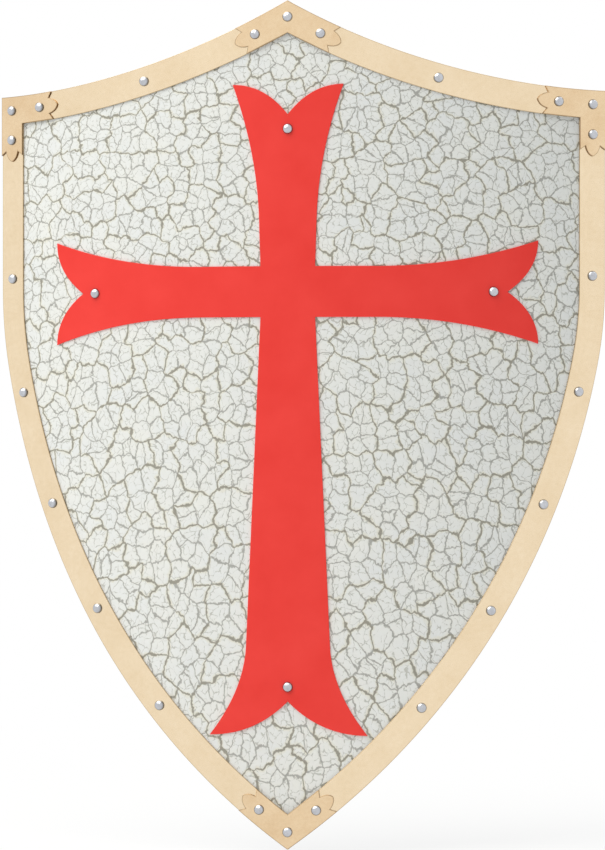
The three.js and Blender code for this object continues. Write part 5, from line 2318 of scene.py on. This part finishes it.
@dataclass
class Studio:
    """Floor, lamps, background and camera, in metres.

    Attributes:
        middle: Middle of the shield, which the lamps and the camera face.
        ambient: Strength at which the background lights the shield.
        camera_turn: Degrees of the camera round from the front.
        lens_pixels: Focal length in pixels of the photograph.
        sensor: Height of the camera's sensor in millimetres.
        aim_aside: Distance in millimetres by which the camera aims past the middle.
    """

    middle: Vector = field(default_factory=lambda: Vector((0.0, 0.0257, -0.285)))
    floor_height: float = -0.639
    floor_size: float = 14.0
    ambient: float = 0.32
    ambient_tint: str = "#f6faff"
    camera_turn: float = 8.6
    camera_distance: float = 3.541
    lens_pixels: float = 4251.25
    image_height: float = 850.0
    sensor: float = 36.0
    aim_aside: float = 6.7
    lamps: tuple[Lamp, ...] = (
        Lamp("key", -44.0, 54.0, 3.6, 3.6, 0.94, "#fffdf8"),
        Lamp("back", 152.0, 38.0, 3.4, 3.0, 0.62),
    )

    def toward(self, azimuth: float, elevation: float) -> Vector:
        """Return the direction from the shield to a place round it."""
        turn, lift = math.radians(azimuth), math.radians(elevation)
        return Vector(
            (math.sin(turn) * math.cos(lift), -math.cos(turn) * math.cos(lift), math.sin(lift))
        )

    def build(self) -> None:
        """Make the floor, the lamps, the background and the camera."""
        half = self.floor_size / 2
        mesh = bpy.data.meshes.new("studio_floor")
        corners = [(-half, -half), (half, -half), (half, half), (-half, half)]
        mesh.from_pydata([(x, y, self.floor_height) for x, y in corners], [], [(0, 1, 2, 3)])
        floor = linked("studio_floor", mesh)
        StudioFloor().dress(floor)
        for lamp in self.lamps:
            self._lamp(lamp)
        self._world()
        self._camera()

    def _lamp(self, lamp: Lamp) -> None:
        """Add one soft lamp."""
        light = bpy.data.lights.new(lamp.name, "AREA")
        light.shape, light.size = "SQUARE", lamp.side
        light.energy = lamp.level * (math.pi * lamp.distance) ** 2
        light.color = linear(lamp.tint)[:3]
        holder = linked(lamp.name, light)
        way = self.toward(lamp.azimuth, lamp.elevation)
        holder.location = self.middle + way * lamp.distance
        holder.rotation_euler = way.to_track_quat("Z", "Y").to_euler()

    def _world(self) -> None:
        """Make the background white where it is seen, and plain and dimmer where it lights."""
        world = bpy.data.worlds.new("studio")
        world.use_nodes = True
        world.node_tree.nodes.clear()
        graph = Graph(world.node_tree)
        dim = graph.add("Background", {"Color": self.ambient_tint, "Strength": self.ambient})
        white = graph.add("Background", {"Color": (1, 1, 1, 1), "Strength": 1.0})
        mixed = graph.add("MixShader", {0: seen_directly(graph), 1: dim, 2: white})
        graph.add("OutputWorld", {"Surface": mixed})
        bpy.context.scene.world = world

    def _camera(self) -> None:
        """Set the camera level with the shield's middle, a little to its right."""
        lens = bpy.data.cameras.new("view")
        lens.sensor_fit, lens.sensor_height = "VERTICAL", self.sensor
        lens.lens = self.lens_pixels / self.image_height * self.sensor
        lens.clip_end = 100.0
        holder = linked("view", lens)
        way = self.toward(self.camera_turn, 0.0)
        holder.location = self.middle + way * self.camera_distance
        aside = Vector((-way.y, way.x, 0)) * self.aim_aside * METRE
        gaze = holder.location - (self.middle + aside)
        holder.rotation_euler = gaze.to_track_quat("Z", "Y").to_euler()
        bpy.context.scene.camera = holder


def main() -> None:
    """Build the shield and its studio."""
    logging.basicConfig(level=logging.INFO, format="%(name)s: %(message)s")
    bpy.context.scene.view_settings.view_transform = "Standard"
    ShieldFace().build()
    StrapWork().build()
    Hanger().build()
    Studio().build()


if __name__ == "__main__":
    main()
